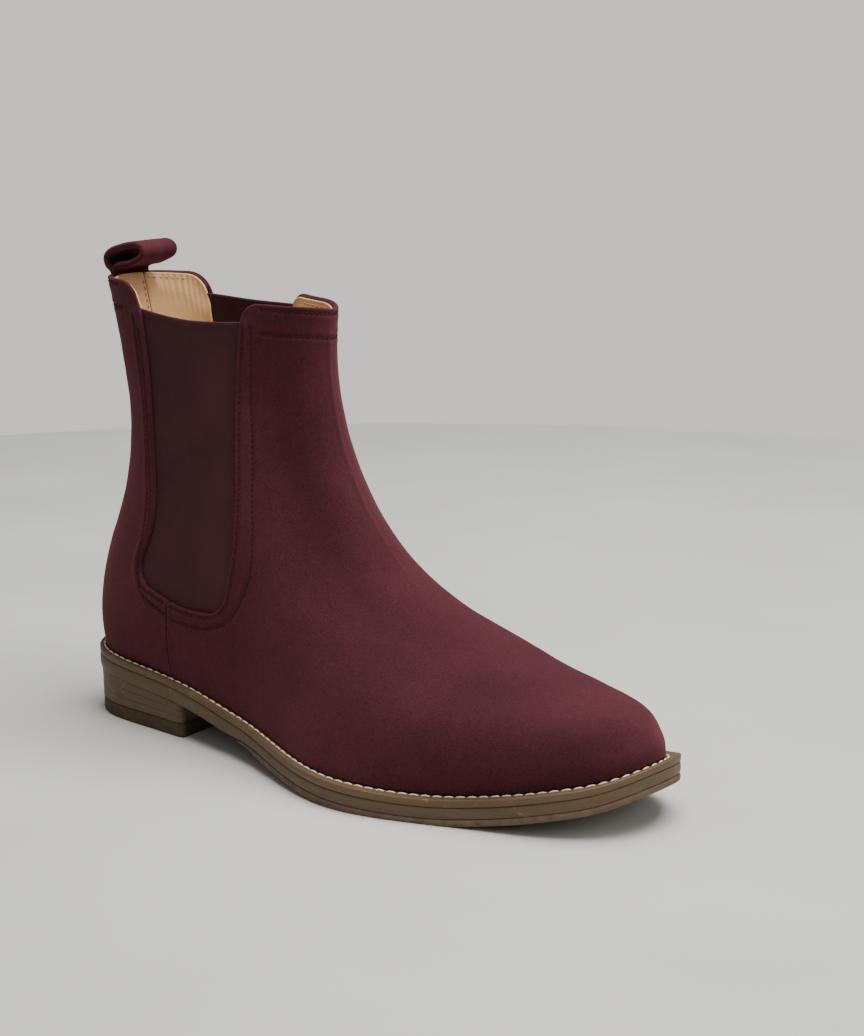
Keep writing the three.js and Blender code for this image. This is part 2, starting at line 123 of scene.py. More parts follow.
WELT_HEIGHT = 3.2
WELT_WIDTHS = (3.2, 3, 4.3, 6)  # at the heel, waist, side and toe
RIB_INSET = 8.5
SEAT_THICK, FOREPART_THICK = 6, 4.6
HALF_SOLE_START, HALF_SOLE_FULL = 112, 130
HALF_SOLE_EDGE, HALF_SOLE_THICK = 0.6, 2.6
WAIST_START, WAIST_LENGTH = 95, 30  # where the midsole thins from the seat to the forepart
BREAST, TOP_PIECE, LIFTS = 71, 6.5, 3
HEEL_CENTRE, HEEL_TAPER = 38, 1.6  # the heel narrows by that much over TAPER_HEIGHT
TAPER_TOP, TAPER_HEIGHT = 45, 50
INSOLE_TOP = 2.8
SOCK_THICK = 0.9
PAD_LENGTH, PAD_THICK = 70, 1.8

LOOP_WIDTH, LOOP_THICK, SKIVED = 22, 2.6, 0.75

SIDES = {"lateral": -1, "medial": 1}


# ---------- Curves ----------


def curve(xs, ys):
    """A smooth curve through points. ys may hold an array for each x, one value per query."""
    xs = np.asarray(xs, float)
    ys = np.asarray(ys, float)
    steps = np.diff(xs).reshape((-1,) + (1,) * (ys.ndim - 1))
    slopes = np.diff(ys, axis=0) / steps
    tangents = np.empty_like(ys)
    tangents[1:-1] = (slopes[:-1] * steps[1:] + slopes[1:] * steps[:-1]) / (steps[:-1] + steps[1:])
    tangents[0] = 1.5 * slopes[0] - 0.5 * tangents[1]
    tangents[-1] = 1.5 * slopes[-1] - 0.5 * tangents[-2]

    def value(x):
        x = np.asarray(x, float)
        i = np.clip(np.searchsorted(xs, x, side="right") - 1, 0, len(xs) - 2)
        pick = (lambda a, k: a[k]) if ys.ndim == 1 else (lambda a, k: a[k, np.arange(len(x))])
        h = xs[i + 1] - xs[i]
        t = (x - xs[i]) / h
        rise = t * t * (3 - 2 * t)
        enter = t * (1 - t) ** 2
        leave = t * t * (t - 1)
        low, high = pick(ys, i), pick(ys, i + 1)
        bend = pick(tangents, i) * enter + pick(tangents, i + 1) * leave
        return low + (high - low) * rise + h * bend

    return value


def ease(t):
    """A smooth step from 0 to 1."""
    c = np.clip(t, 0, 1)
    return c * c * (3 - 2 * c)


def bump(distance, width):
    """1 on a line and 0 well away from it."""
    return np.exp(-((distance / width) ** 2))


def arc(cx, cz, radius, from_degrees, to_degrees, steps=10):
    """Points on an arc round (cx, cz)."""
    angles = np.radians(np.linspace(from_degrees, to_degrees, steps + 1))
    return [(cx + radius * math.cos(a), cz + radius * math.sin(a)) for a in angles]


def rounded_path(points, steps=8):
    """A Catmull-Rom curve through points."""
    p = np.asarray(points, float)
    p = np.vstack([2 * p[0] - p[1], p, 2 * p[-1] - p[-2]])
    out = []
    for i in range(1, len(p) - 2):
        for t in np.arange(steps) / steps:
            a = 2 * p[i]
            b = (p[i + 1] - p[i - 1]) * t
            c = (2 * p[i - 1] - 5 * p[i] + 4 * p[i + 1] - p[i + 2]) * t * t
            d = (3 * p[i] - p[i - 1] - 3 * p[i + 1] + p[i + 2]) * t**3
            out.append((a + b + c + d) / 2)
    out.append(p[-2])
    return np.array(out)


def line_distance(x, z, line):
    """Distance from each (x, z) to a polyline."""
    line = np.asarray(line, float)
    best = np.full(np.shape(x), np.inf)
    for (ax, az), (bx, bz) in zip(line[:-1], line[1:]):
        dx, dz = bx - ax, bz - az
        t = np.clip(((x - ax) * dx + (z - az) * dz) / (dx * dx + dz * dz + 1e-12), 0, 1)
        best = np.minimum(best, np.hypot(x - ax - t * dx, z - az - t * dz))
    return best


def inside_distance(x, z, outline):
    """Distance to a closed outline, positive inside it."""
    ring = list(outline) + [outline[0]]
    odd = np.zeros(np.shape(x), bool)
    for (ax, az), (bx, bz) in zip(ring[:-1], ring[1:]):
        if az == bz:
            continue
        crosses = (az > z) != (bz > z)
        odd ^= crosses & (x < ax + (z - az) * (bx - ax) / (bz - az))
    return np.where(odd, 1, -1) * line_distance(x, z, ring)


# ---------- The last ----------

feather = curve([p[0] for p in FEATHER], [p[1] for p in FEATHER])
ROW_V = [r[0] for r in ROWS]
back_x = curve(ROW_V, [r[1][0] for r in ROWS])
back_z = curve(ROW_V, [r[1][1] for r in ROWS])
front_x = curve(ROW_V, [r[2][0] for r in ROWS])
front_z = curve(ROW_V, [r[2][1] for r in ROWS])
width_curves = {
    side: [curve(WIDTH_ROWS, [row[k] for row in rows]) for k in range(len(STATIONS))]
    for side, rows in WIDTHS.items()
}


def last_point(s, v):
    """The upper's outer face. s: 0 back seam, 0 to 1 medial, 1 front ridge, 1 to 2 lateral."""
    s, v = np.broadcast_arrays(np.asarray(s, float), np.asarray(v, float))
    shape = s.shape
    s, v = s.ravel(), v.ravel()
    angle = math.pi * s
    t = (1 - np.cos(angle)) / 2
    x0 = back_x(v)
    length = front_x(v) - x0
    x = x0 + t * length
    fullness = {}
    for side in SIDES:
        values = []
        for station, width in zip(STATIONS, width_curves[side]):
            w = width(v)
            if station in (0, 1):
                values.append(np.sqrt(w * length / 2))
            else:
                values.append(w / (2 * math.sqrt(station * (1 - station))))
        fullness[side] = curve(STATIONS, np.array(values))(t)
    sine = np.sin(angle)
    y = sine * np.where(sine >= 0, fullness["medial"], fullness["lateral"])
    heel_z, toe_z = feather(back_x(0)), feather(front_x(0))
    straight = back_z(v) + (front_z(v) - back_z(v)) * t
    dip = (feather(x) - heel_z - (toe_z - heel_z) * t) * (1 - ease(v / 0.45))
    return np.stack([x, y, straight + dip], axis=-1).reshape(shape + (3,))


def unit(a):
    return a / np.linalg.norm(a, axis=-1, keepdims=True)


def outward(s, v):
    """The last's outward normals."""
    e = 1e-3
    along = last_point(s + e, v) - last_point(s - e, v)
    up = last_point(s, v + e) - last_point(s, v - e)
    return unit(np.cross(up, along))


def find_on_last(xz, side):
    """The (s, v) of side-view points on one side of the last."""
    xz = np.asarray(xz, float)
    span = (0.02, 0.98) if side == "medial" else (1.02, 1.98)
    s_grid, v_grid = np.meshgrid(np.linspace(*span, 160), np.linspace(-0.02, 1.02, 120))
    p = last_point(s_grid, v_grid)[..., (0, 2)].reshape(-1, 2)
    closest = [np.argmin(((p - q) ** 2).sum(1)) for q in xz]
    s, v = s_grid.ravel()[closest], v_grid.ravel()[closest]
    e = 1e-4
    for _ in range(6):
        here = last_point(s, v)[:, (0, 2)]
        ds = (last_point(s + e, v)[:, (0, 2)] - here) / e
        dv = (last_point(s, v + e)[:, (0, 2)] - here) / e
        miss = xz - here
        det = ds[:, 0] * dv[:, 1] - ds[:, 1] * dv[:, 0]
        s = s + (miss[:, 0] * dv[:, 1] - miss[:, 1] * dv[:, 0]) / det
        v = v + (ds[:, 0] * miss[:, 1] - ds[:, 1] * miss[:, 0]) / det
    return s, v


def find_height(s, height):
    """The v at which each s reaches a height."""
    low, high = np.zeros(len(s)), np.full(len(s), 1.02)
    for _ in range(30):
        middle = (low + high) / 2
        above = last_point(s, middle)[:, 2] > height
        high = np.where(above, middle, high)
        low = np.where(above, low, middle)
    return (low + high) / 2


def to_frame(points):
    """The last's millimetres to the frame's metres."""
    p = np.asarray(points, float)
    cos, sin = math.cos(SWING), math.sin(SWING)
    x = p[..., 0] * cos - p[..., 1] * sin - CENTRE[0]
    y = p[..., 0] * sin + p[..., 1] * cos - CENTRE[1]
    return np.stack([x, y, p[..., 2]], axis=-1) * MM


# ---------- Outlines in side view ----------


def gore_window(grow=0):
    """The U-shaped window a gore shows in, from its back top corner round to its front one."""
    return [
        (42 - grow, 184),
        (46 - grow, 158),
        (48.5 - grow, 125),
        (51 - grow, 104),
        (49.7 - grow, 90),
        *arc(53.5, 74.3, 9.3 + grow, 165, 250),
        (66, 61 - grow),
        (76, 59.5 - grow),
        *arc(87, 72.5, 13 + grow, 265, 355),
        (101.8 + grow, 90),
        (100 + grow, 110),
        (96 + grow, 135),
        (94 + grow, 160),
        (94.5 + grow, 182),
    ]


def smooth_window(grow=0):
    """The window with its long sides drawn as smooth curves."""
    points = gore_window(grow)
    return [tuple(p) for p in rounded_path(points, 4)]


BACK_TOPLINE = [*arc(27, TOP_BACK - 13.5, 13.5, 25, 90), (-20, TOP_BACK)]
FRONT_TOPLINE = [(320, TOP_FRONT), *arc(103, TOP_FRONT - 8, 8, 90, 180)]
WINDOW = smooth_window()


def upper_outline():
    """The upper in side view: the feather line, the toplines and the gore's window."""
    xs = np.linspace(-20, 320, 69)
    bottom = [(x, feather(x) + GAP) for x in xs]
    return [*bottom, *FRONT_TOPLINE, *WINDOW[::-1], *BACK_TOPLINE]


UPPER = upper_outline()


def gore_outline(side):
    """The gore in side view, with its margin under the suede and its dipped top edge."""
    back_top, front_top = GORE_TOP[side]
    window = smooth_window(GORE_MARGIN)
    first, last = window[0], window[-1]
    middle = ((first[0] + last[0]) / 2, min(back_top, front_top) - 0.8)
    top = rounded_path([(last[0], front_top), middle, (first[0] + 0.4, back_top)])
    return [*window[1:-1], *[tuple(p) for p in top]]


def front_lift(points):
    """How far the front topline rises on the medial side, after a dip at the ridge."""
    x, y, z = points[..., 0], points[..., 1], points[..., 2]
    rise = FRONT_LIFT * ease((y - 8) / 12) - FRONT_DIP * bump(y - 5, 12)
    return rise * ease((x - 80) / 10) * ease((z - 150) / 25)


# ---------- Mesh building ----------


def build(name, points, faces, material, body="boot", flat_faces=(), uv=None):
    """A mesh object from points in the last's frame."""
    mesh = bpy.data.meshes.new(name)
    mesh.from_pydata(to_frame(points).tolist(), [], faces)
    smooth = np.ones(len(mesh.polygons), bool)
    smooth[list(flat_faces)] = False
    mesh.polygons.foreach_set("use_smooth", smooth)
    if uv is not None:
        layer = mesh.uv_layers.new(name="surface")
        corners = np.zeros(len(mesh.loops), np.int32)
        mesh.loops.foreach_get("vertex_index", corners)
        layer.data.foreach_set("uv", (np.asarray(uv) * MM)[corners].ravel())
    mesh.materials.append(material)
    obj = bpy.data.objects.new(name, mesh)
    bpy.context.scene.collection.objects.link(obj)
    if body:
        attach(obj, body)
    return obj


def spaced(breaks, counts):
    """Values from one break to the next, with that many steps between them."""
    parts = [np.linspace(a, b, n, endpoint=False) for a, b, n in zip(breaks, breaks[1:], counts)]
    return np.concatenate([*parts, [breaks[-1]]])


def cut_skin(s_values, v_values, inside, level):
    """The part of a grid on the last where inside(points) is over level.

    Cells on the border are cut along it. Returns s, v and the faces, counted from 0."""
    s_grid, v_grid = np.meshgrid(s_values, v_values, indexing="ij")
    field = inside(last_point(s_grid, v_grid)) - level
    kept = field > 0
    index = np.full(field.shape, -1)
    index[kept] = np.arange(kept.sum())
    s_list, v_list = list(s_grid[kept]), list(v_grid[kept])
    corners = np.stack([kept[:-1, :-1], kept[:-1, 1:], kept[1:, 1:], kept[1:, :-1]])
    count = corners.sum(0)
    i, j = np.nonzero(count == 4)
    faces = np.stack([index[i, j], index[i, j + 1], index[i + 1, j + 1], index[i + 1, j]], 1).tolist()
    cuts = {}

    def cut(a, b):
        key = (a, b) if a < b else (b, a)
        if key not in cuts:
            t = field[a] / (field[a] - field[b])
            cuts[key] = len(s_list)
            s_list.append(s_grid[a] + (s_grid[b] - s_grid[a]) * t)
            v_list.append(v_grid[a] + (v_grid[b] - v_grid[a]) * t)
        return cuts[key]

    for i, j in zip(*np.nonzero((count > 0) & (count < 4))):
        cell = [(i, j), (i, j + 1), (i + 1, j + 1), (i + 1, j)]
        face = []
        for a, b in zip(cell, cell[1:] + cell[:1]):
            if kept[a]:
                face.append(int(index[a]))
            if kept[a] != kept[b]:
                face.append(cut(a, b))
        if len(face) > 2:
            faces.append(face)
    return np.array(s_list), np.array(v_list), faces


def border_loops(faces):
    """The loops of border vertices, each running the way its faces do."""
    following = {}
    edges = set()
    for face in faces:
        edges.update(zip(face, face[1:] + face[:1]))
    for a, b in edges:
        if (b, a) not in edges:
            following[a] = b
    loops = []
    while following:
        start = next(iter(following))
        loop = [start]
        while following.get(loop[-1], start) != start:
            loop.append(following.pop(loop[-1]))
        following.pop(loop[-1], None)
        loops.append(loop)
    return loops


RIM_STEPS = 6  # facets round the edge of a panel


def panel(name, s_values, v_values, inside, depth, thick, relief, material, slot, even=False):
    """A sheet of leather or cloth on the last, with rounded edges.

    depth is from the last's face to the panel's outer face, and relief(s, v, points) is how
    far that face stands out from there. The inner face follows it on an even sheet, and
    stays on the last on any other."""
    radius = thick / 2
    s, v, faces = cut_skin(s_values, v_values, inside, radius)
    base = last_point(s, v)
    normal = outward(s, v)
    shift = relief(s, v, base)
    outer = base + normal * (shift - depth)[:, None]
    inner = outer - normal * thick if even else base - normal * (depth + thick)
    first = faces[0]
    across = np.cross(outer[first[1]] - outer[first[0]], outer[first[2]] - outer[first[1]])
    if across @ normal[first[0]] < 0:
        faces = [face[::-1] for face in faces]
    count = len(outer)
    rings, rim_uv = [], []
    all_faces = list(faces) + [[k + count for k in face[::-1]] for face in faces]
    next_index = 2 * count
    surface_uv = np.stack([base[:, 0] + 0.06 * base[:, 2], base[:, 2]], 1)
    for loop in border_loops(faces):
        n = len(loop)
        centre = (outer[loop] + inner[loop]) / 2
        half = (outer[loop] - inner[loop]) / 2
        tangent = unit(np.roll(centre, -2, 0) - np.roll(centre, 2, 0))
        side = unit(np.cross(tangent, normal[loop]))
        rows = [list(loop)]
        for k in range(1, RIM_STEPS):
            angle = math.pi * k / RIM_STEPS
            rings.append(centre + side * radius * math.sin(angle) + half * math.cos(angle))
            rim_uv.append(surface_uv[loop])
            rows.append(list(range(next_index, next_index + n)))
            next_index += n
        rows.append([k + count for k in loop])
        for low, high in zip(rows, rows[1:]):
            all_faces += [[low[k], high[k], high[(k + 1) % n], low[(k + 1) % n]] for k in range(n)]
    points = np.vstack([outer, inner, *rings])
    uv = np.vstack([surface_uv, surface_uv, *rim_uv])
    return build(name, points, all_faces, material, uv=uv)


def capsule(sides=6, rings=7):
    """A rounded bar of length 2 and radius 1: points and faces."""
    angles = np.linspace(0, 2 * math.pi, sides, endpoint=False)
    along = -np.cos(np.linspace(0, math.pi, rings))
    points = []
    for u in along:
        r = (1 - abs(u) ** 2.4) ** 0.5 if abs(u) < 1 else 0.15
        points += [(u, r * math.cos(a), r * math.sin(a)) for a in angles]
    faces = []
    for i in range(rings - 1):
        for j in range(sides):
            k = (j + 1) % sides
            faces.append([i * sides + j, i * sides + k, (i + 1) * sides + k, (i + 1) * sides + j])
    faces.append(list(range(sides))[::-1])
    faces.append([(rings - 1) * sides + j for j in range(sides)])
    return np.array(points), faces


def stitches(name, points, normals, material, slot, pitch, length, radius, slant=0.0):
    """A row of thread stitches along a line of points on a surface."""
    points, normals = np.asarray(points), np.asarray(normals)
    run = np.concatenate([[0], np.cumsum(np.linalg.norm(np.diff(points, axis=0), axis=1))])
    number = max(1, int(run[-1] // pitch))
    middles = (np.arange(number) + 0.5) * run[-1] / number

    def sample(values, at):
        return np.stack([np.interp(at, run, values[:, k]) for k in range(3)], 1)

    middle = sample(points, middles)
    tangent = unit(sample(points, middles + 0.3 * length) - sample(points, middles - 0.3 * length))
    normal = unit(sample(normals, middles))
    side = unit(np.cross(normal, tangent))
    if slant:
        tangent, side = unit(tangent + side * slant), unit(side - tangent * slant)
    shape, shape_faces = capsule()
    every, faces = [], []
    for k in range(number):
        dip = (shape[:, 0] ** 2) * radius * 0.9
        along = np.outer(shape[:, 0] * length / 2, tangent[k])
        across = np.outer(shape[:, 1] * radius, side[k])
        up = np.outer(shape[:, 2] * radius * 0.8 - dip, normal[k])
        start = k * len(shape)
        every.append(middle[k] + along + across + up)
        faces += [[i + start for i in face] for face in shape_faces]
    return build(name, np.vstack(every), faces, material)


# ---------- The sole's layers ----------


def sole_ring(offset, count=240):
    """The feather line in plan, moved outwards, as points from the heel round the medial side.

    offset is one distance, or one for each point."""
    s = np.linspace(0, 2, count, endpoint=False)
    e = 1e-3
    p = last_point(s, 0)[:, :2]
    along = last_point(s + e, 0)[:, :2] - last_point(s - e, 0)[:, :2]
    away = unit(np.stack([along[:, 1], -along[:, 0]], 1)) * -1
    return p + away * np.broadcast_to(offset, (count,))[:, None]


def welt_width(count=240):
    s = np.linspace(0, 2, count, endpoint=False)
    return curve([0, 0.3, 0.6, 1], WELT_WIDTHS)((1 - np.cos(math.pi * s)) / 2)


def welt_bottom(x):
    return feather(x) - WELT_HEIGHT


def midsole_top(x):
    return welt_bottom(x) - 0.1


def midsole_bottom(x):
    thinner = (SEAT_THICK - FOREPART_THICK) * ease((x - WAIST_START) / WAIST_LENGTH)
    return welt_bottom(x) - GAP - SEAT_THICK + thinner


def half_sole_bottom(x):
    grown = ease((x - HALF_SOLE_START) / (HALF_SOLE_FULL - HALF_SOLE_START))
    height = HALF_SOLE_EDGE + (HALF_SOLE_THICK - HALF_SOLE_EDGE) * grown
    return np.maximum(0, midsole_bottom(x) - GAP - height)


def ring_faces(low, high, count):
    """Quads between two rings of the same number of points."""
    return [[low + k, low + (k + 1) % count, high + (k + 1) % count, high + k] for k in range(count)]


def edge_profile(top, bottom, bevel, steps=4, swell=0.25):
    """An edge seen in section, from its top bevel to its bottom one, as (inset, height) pairs.

    The inset is measured in from the layer's widest outline."""
    turn = np.linspace(0, math.pi / 2, steps)
    upper = [(bevel * (1 - math.sin(a)), -bevel * (1 - math.cos(a))) for a in turn]
    lower = [(bevel * (1 - math.cos(a)), bevel * (1 - math.sin(a))) for a in turn]
    walls = [(swell * (2 * u - 1) ** 2, u) for u in (0.25, 0.5, 0.75)]
    rows = [(inset + swell, top, drop, 1.0) for inset, drop in upper]
    rows += [(inset, None, 0, 1 - u) for inset, u in walls]
    rows += [(inset + swell, bottom, rise, 0.0) for inset, rise in lower]
    return rows


def sole_layer(name, top, bottom, material, bevel=0.5, count=240, start=None, across=12):
    """A full-width layer of the sole between two heights that change along the boot.

    start cuts its back end off square across the boot."""
    width = welt_width(count)
    keep = np.arange(count)
    if start is not None:
        keep = np.nonzero(sole_ring(width, count)[:, 0] > start)[0]
    rings = []
    for inset, level, shift, share in edge_profile(0, 1, bevel):
        plan = sole_ring(width - inset, count)[keep]
        if start is not None:
            plan[0, 0] = plan[-1, 0] = start
        x = plan[:, 0]
        high, low = top(x), bottom(x)
        room = np.minimum(1, (high - low) / (2 * bevel + 0.05))
        if level is None:
            z = low + (high - low) * share
        elif share == 1.0:
            z = high + shift * room
        else:
            z = low + shift * room
        rings.append(np.column_stack([plan, z]))
    n = len(keep)
    points = list(rings)
    faces = []
    for k in range(len(rings) - 1):
        faces += ring_faces((k + 1) * n, k * n, n)
    total = len(rings) * n
    half = n // 2
    for ring_start, plan, height, turn in ((0, rings[0], top, 1), (total - n, rings[-1], bottom, -1)):
        grid = np.full((half + 1, across + 1), -1)
        for k in range(half + 1):
            medial, lateral = k % n, (n - k) % n if start is None else n - 1 - k
            grid[k, 0] = ring_start + medial
            grid[k, across] = ring_start + lateral
            if medial == lateral:
                grid[k, :] = ring_start + medial
                continue
            for m in range(1, across):
                xy = plan[medial, :2] + (plan[lateral, :2] - plan[medial, :2]) * m / across
                points.append(np.array([[xy[0], xy[1], height(xy[0])]]))
                grid[k, m] = total
                total += 1
        for k in range(half):
            for m in range(across):
                face = [grid[k, m], grid[k + 1, m], grid[k + 1, m + 1], grid[k, m + 1]]
                face = [int(p) for i, p in enumerate(face) if p != face[i - 1]]
                if len(face) > 2:
                    faces.append(face[::turn])
    return build(name, np.vstack(points), faces, material)


def heel_plan(height, inset):
    """The heel block's outline at a height, with a slightly hollow breast and eased corners."""
    width = welt_width()
    plan = sole_ring(width - inset)
    centre = np.array([HEEL_CENTRE, 0.0])
    plan = plan + unit(centre - plan) * HEEL_TAPER * (TAPER_TOP - height) / TAPER_HEIGHT
    breast = BREAST - inset
    keep = np.nonzero(plan[:, 0] < breast - 2)[0]
    split = np.nonzero(np.diff(keep) > 1)[0][0]
    medial, lateral = plan[keep[: split + 1]], plan[keep[split + 1 :]]
    y0, y1 = medial[-1, 1] - 0.8, lateral[0, 1] + 0.8
    y = np.linspace(y0, y1, 24)
    hollow = 1.2 * (1 - ((y - (y0 + y1) / 2) / ((y0 - y1) / 2)) ** 2)
    front = np.column_stack([breast - hollow, y])
    return np.vstack([medial, front, lateral])


def heel_layer(name, top, bottom, material, bevel):
    """One layer of the heel. Its bottom is flat or follows the sole above it."""
    rows = []
    for inset, _, shift, share in edge_profile(0, 1, bevel, swell=0.03):
        middle = 0.5 * (top(HEEL_CENTRE) + bottom(HEEL_CENTRE))
        plan = heel_plan(middle, inset)
        x = plan[:, 0]
        z = bottom(x) + (top(x) - bottom(x)) * share + shift
        rows.append(np.column_stack([plan, z]))
    n = len(rows[0])
    faces = []
    for k in range(len(rows) - 1):
        faces += ring_faces((k + 1) * n, k * n, n)
    faces.append(list(range(n)))
    faces.append(list(range((len(rows) - 1) * n, len(rows) * n))[::-1])
    caps = (len(faces) - 2, len(faces) - 1)
    return build(name, np.vstack(rows), faces, material, flat_faces=caps)


# ---------- Materials ----------


BAND_SCALE = 0.314  # a wave texture of scale 1 repeats at this many metres


class Finish:
    """A node material with a Principled shader, and short ways to wire noise into it."""

    def __init__(self, name, roughness, sheen=0.0, sheen_tint=(1, 1, 1), metallic=0.0, specular=0.5):
        self.material = bpy.data.materials.new(name)
        self.material.use_nodes = True
        self.nodes = self.material.node_tree.nodes
        self.links = self.material.node_tree.links
        self.shader = self.nodes["Principled BSDF"]
        self.set("Roughness", roughness)
        self.set("Metallic", metallic)
        self.set("Specular IOR Level", specular)
        if sheen:
            self.set("Sheen Weight", sheen)
            self.set("Sheen Roughness", 0.55)
            self.set("Sheen Tint", (*sheen_tint, 1))
        self.place = self.nodes.new("ShaderNodeTexCoord").outputs["Object"]

    def set(self, socket, value):
        self.shader.inputs[socket].default_value = value

    def scaled(self, scale, vector=None):
        """Coordinates multiplied by one number for each axis."""
        node = self.nodes.new("ShaderNodeMapping")
        node.inputs["Scale"].default_value = scale
        self.links.new(vector or self.place, node.inputs["Vector"])
        return node.outputs["Vector"]

    def noise(self, size, detail=4.0, rough=0.5, stretch=(1, 1, 1), vector=None):
        """Noise with features about `size` millimetres across, stretched along the axes."""
        node = self.nodes.new("ShaderNodeTexNoise")
        node.inputs["Scale"].default_value = 1
        node.inputs["Detail"].default_value = detail
        node.inputs["Roughness"].default_value = rough
        scale = [1 / (size * MM * k) for k in stretch]
        self.links.new(self.scaled(scale, vector), node.inputs["Vector"])
        return node.outputs["Fac"]

    def bands(self, pitch, axis, vector, distortion=0.0):
        """Smooth bands with the given pitch in millimetres along one axis."""
        node = self.nodes.new("ShaderNodeTexWave")
        node.bands_direction = axis
        node.inputs["Scale"].default_value = BAND_SCALE / (pitch * MM)
        node.inputs["Distortion"].default_value = distortion
        self.links.new(vector, node.inputs["Vector"])
        return node.outputs["Fac"]

    def ramp(self, value, *stops):
        """Colours at positions along a value."""
        node = self.nodes.new("ShaderNodeValToRGB")
        elements = node.color_ramp.elements
        while len(elements) < len(stops):
            elements.new(0.5)
        for element, (position, colour) in zip(elements, stops):
            element.position = position
            element.color = (*linear(colour), 1)
        self.links.new(value, node.inputs["Fac"])
        return node.outputs["Color"]

    def mix(self, a, b, share, mode="MIX"):
        """Two colours mixed. share is a number or a socket."""
        node = self.nodes.new("ShaderNodeMix")
        node.data_type = "RGBA"
        node.blend_type = mode
        for socket, value in ((node.inputs[6], a), (node.inputs[7], b), (node.inputs[0], share)):
            if isinstance(value, bpy.types.NodeSocket):
                self.links.new(value, socket)
            elif isinstance(value, (int, float)):
                socket.default_value = value
            else:
                socket.default_value = (*linear(value), 1)
        return node.outputs[2]

    def colour(self, socket):
        self.links.new(socket, self.shader.inputs["Base Color"])

    def roughness(self, value, low, high):
        node = self.nodes.new("ShaderNodeMapRange")
        node.inputs["To Min"].default_value = low
        node.inputs["To Max"].default_value = high
        self.links.new(value, node.inputs["Value"])
        self.links.new(node.outputs["Result"], self.shader.inputs["Roughness"])

    def relief(self, *layers):
        """Bumps laid over each other, each a (value, strength, height in millimetres)."""
        normal = None
        for value, strength, height in layers:
            node = self.nodes.new("ShaderNodeBump")
            node.inputs["Strength"].default_value = strength
            node.inputs["Distance"].default_value = height * MM
            self.links.new(value, node.inputs["Height"])
            if normal is not None:
                self.links.new(normal, node.inputs["Normal"])
            normal = node.outputs["Normal"]
        self.links.new(normal, self.shader.inputs["Normal"])


def linear(colour):
    """An sRGB colour, 0 to 255, as linear light."""
    share = [c / 255 for c in colour]
    return [c / 12.92 if c <= 0.04045 else ((c + 0.055) / 1.055) ** 2.4 for c in share]


def suede_finish(name, dark, middle, light, sheen=0.35):
    """Brushed nap: fine speckle, cloudy patches where it lies another way, and a soft sheen."""
    f = Finish(name, 0.95, sheen=sheen, sheen_tint=linear((190, 110, 122)), specular=0.1)
    patches = f.ramp(f.noise(34, 5, 0.5), (0.3, dark), (0.5, middle), (0.72, light))
    drift = f.ramp(f.noise(4.5, 4, 0.6), (0.3, (116, 116, 116)), (0.7, (140, 140, 140)))
    nap = f.ramp(f.noise(0.8, 3, 0.75), (0.32, (76, 76, 76)), (0.68, (180, 180, 180)))
    f.colour(f.mix(f.mix(patches, drift, 0.6, "OVERLAY"), nap, 0.6, "OVERLAY"))
    f.relief((f.noise(0.55, 3, 0.7), 0.55, 0.4), (f.noise(2.4, 4, 0.6), 0.3, 0.4))
    return f.material


def elastic_finish():
    """Covered elastic: fine ribs up and down, with faint weft lines across."""
    f = Finish("elastic", 0.85, sheen=0.2, sheen_tint=linear((170, 110, 125)), specular=0.2)
    surface = f.nodes.new("ShaderNodeUVMap")
    surface.uv_map = "surface"
    uv = surface.outputs["UV"]
    ribs = f.bands(0.9, "X", uv, 0.3)
    weft = f.bands(1.3, "Y", uv, 0.4)
    ground = f.ramp(f.noise(30, 4), (0.3, (66, 33, 38)), (0.7, (78, 40, 45)))
    f.colour(f.mix(ground, f.ramp(ribs, (0.1, (108, 108, 108)), (0.9, (140, 140, 140))), 0.6, "OVERLAY"))
    f.relief((ribs, 0.32, 0.2), (weft, 0.35, 0.15), (f.noise(0.6, 2), 0.2, 0.15))
    return f.material


def leather_finish(name, dark, middle, light, grain=1.1, roughness=0.5, depth=0.12):
    """Smooth leather with a pebbled grain, pores and a few darker handled patches."""
    f = Finish(name, roughness, specular=0.4)
    tone = f.ramp(f.noise(32, 6, 0.6), (0.28, dark), (0.5, middle), (0.74, light))
    pores = f.nodes.new("ShaderNodeTexVoronoi")
    pores.feature = "DISTANCE_TO_EDGE"
    pores.inputs["Scale"].default_value = 1 / (grain * MM)
    f.links.new(f.place, pores.inputs["Vector"])
    cells = f.ramp(pores.outputs["Distance"], (0.0, (96, 96, 96)), (0.25, (134, 134, 134)))
    f.colour(f.mix(tone, cells, 0.5, "OVERLAY"))
    f.roughness(f.noise(9, 4), roughness - 0.1, roughness + 0.12)
    f.relief((pores.outputs["Distance"], 0.35, depth), (f.noise(4, 4), 0.25, 0.4))
    return f.material


def edge_finish(name, dark, middle, light, streak=0.7, roughness=0.55, wear=None):
    """The cut edge of sole leather: long thin streaks that follow the sole, and scuffs."""
    f = Finish(name, roughness, specular=0.4)
    fine = f.noise(streak, 5, 0.65, stretch=(34, 34, 1))
    broad = f.noise(streak * 4, 3, 0.5, stretch=(22, 22, 1))
    tone = f.ramp(fine, (0.2, dark), (0.5, middle), (0.82, light))
    tone = f.mix(tone, f.ramp(broad, (0.25, dark), (0.75, light)), 0.4)
    speckle = f.ramp(f.noise(1.1, 4, 0.7), (0.35, (106, 106, 106)), (0.65, (140, 140, 140)))
    tone = f.mix(tone, speckle, 0.45, "OVERLAY")
    if wear:
        scuffs = f.ramp(f.noise(6, 6, 0.75), (0.6, (0, 0, 0)), (0.74, (255, 255, 255)))
        tone = f.mix(tone, wear, scuffs)
    f.colour(tone)
    f.roughness(f.noise(5, 5), roughness - 0.12, roughness + 0.15)
    f.relief((fine, 0.2, 0.2), (f.noise(0.7, 3, 0.7), 0.25, 0.12))
    return f.material


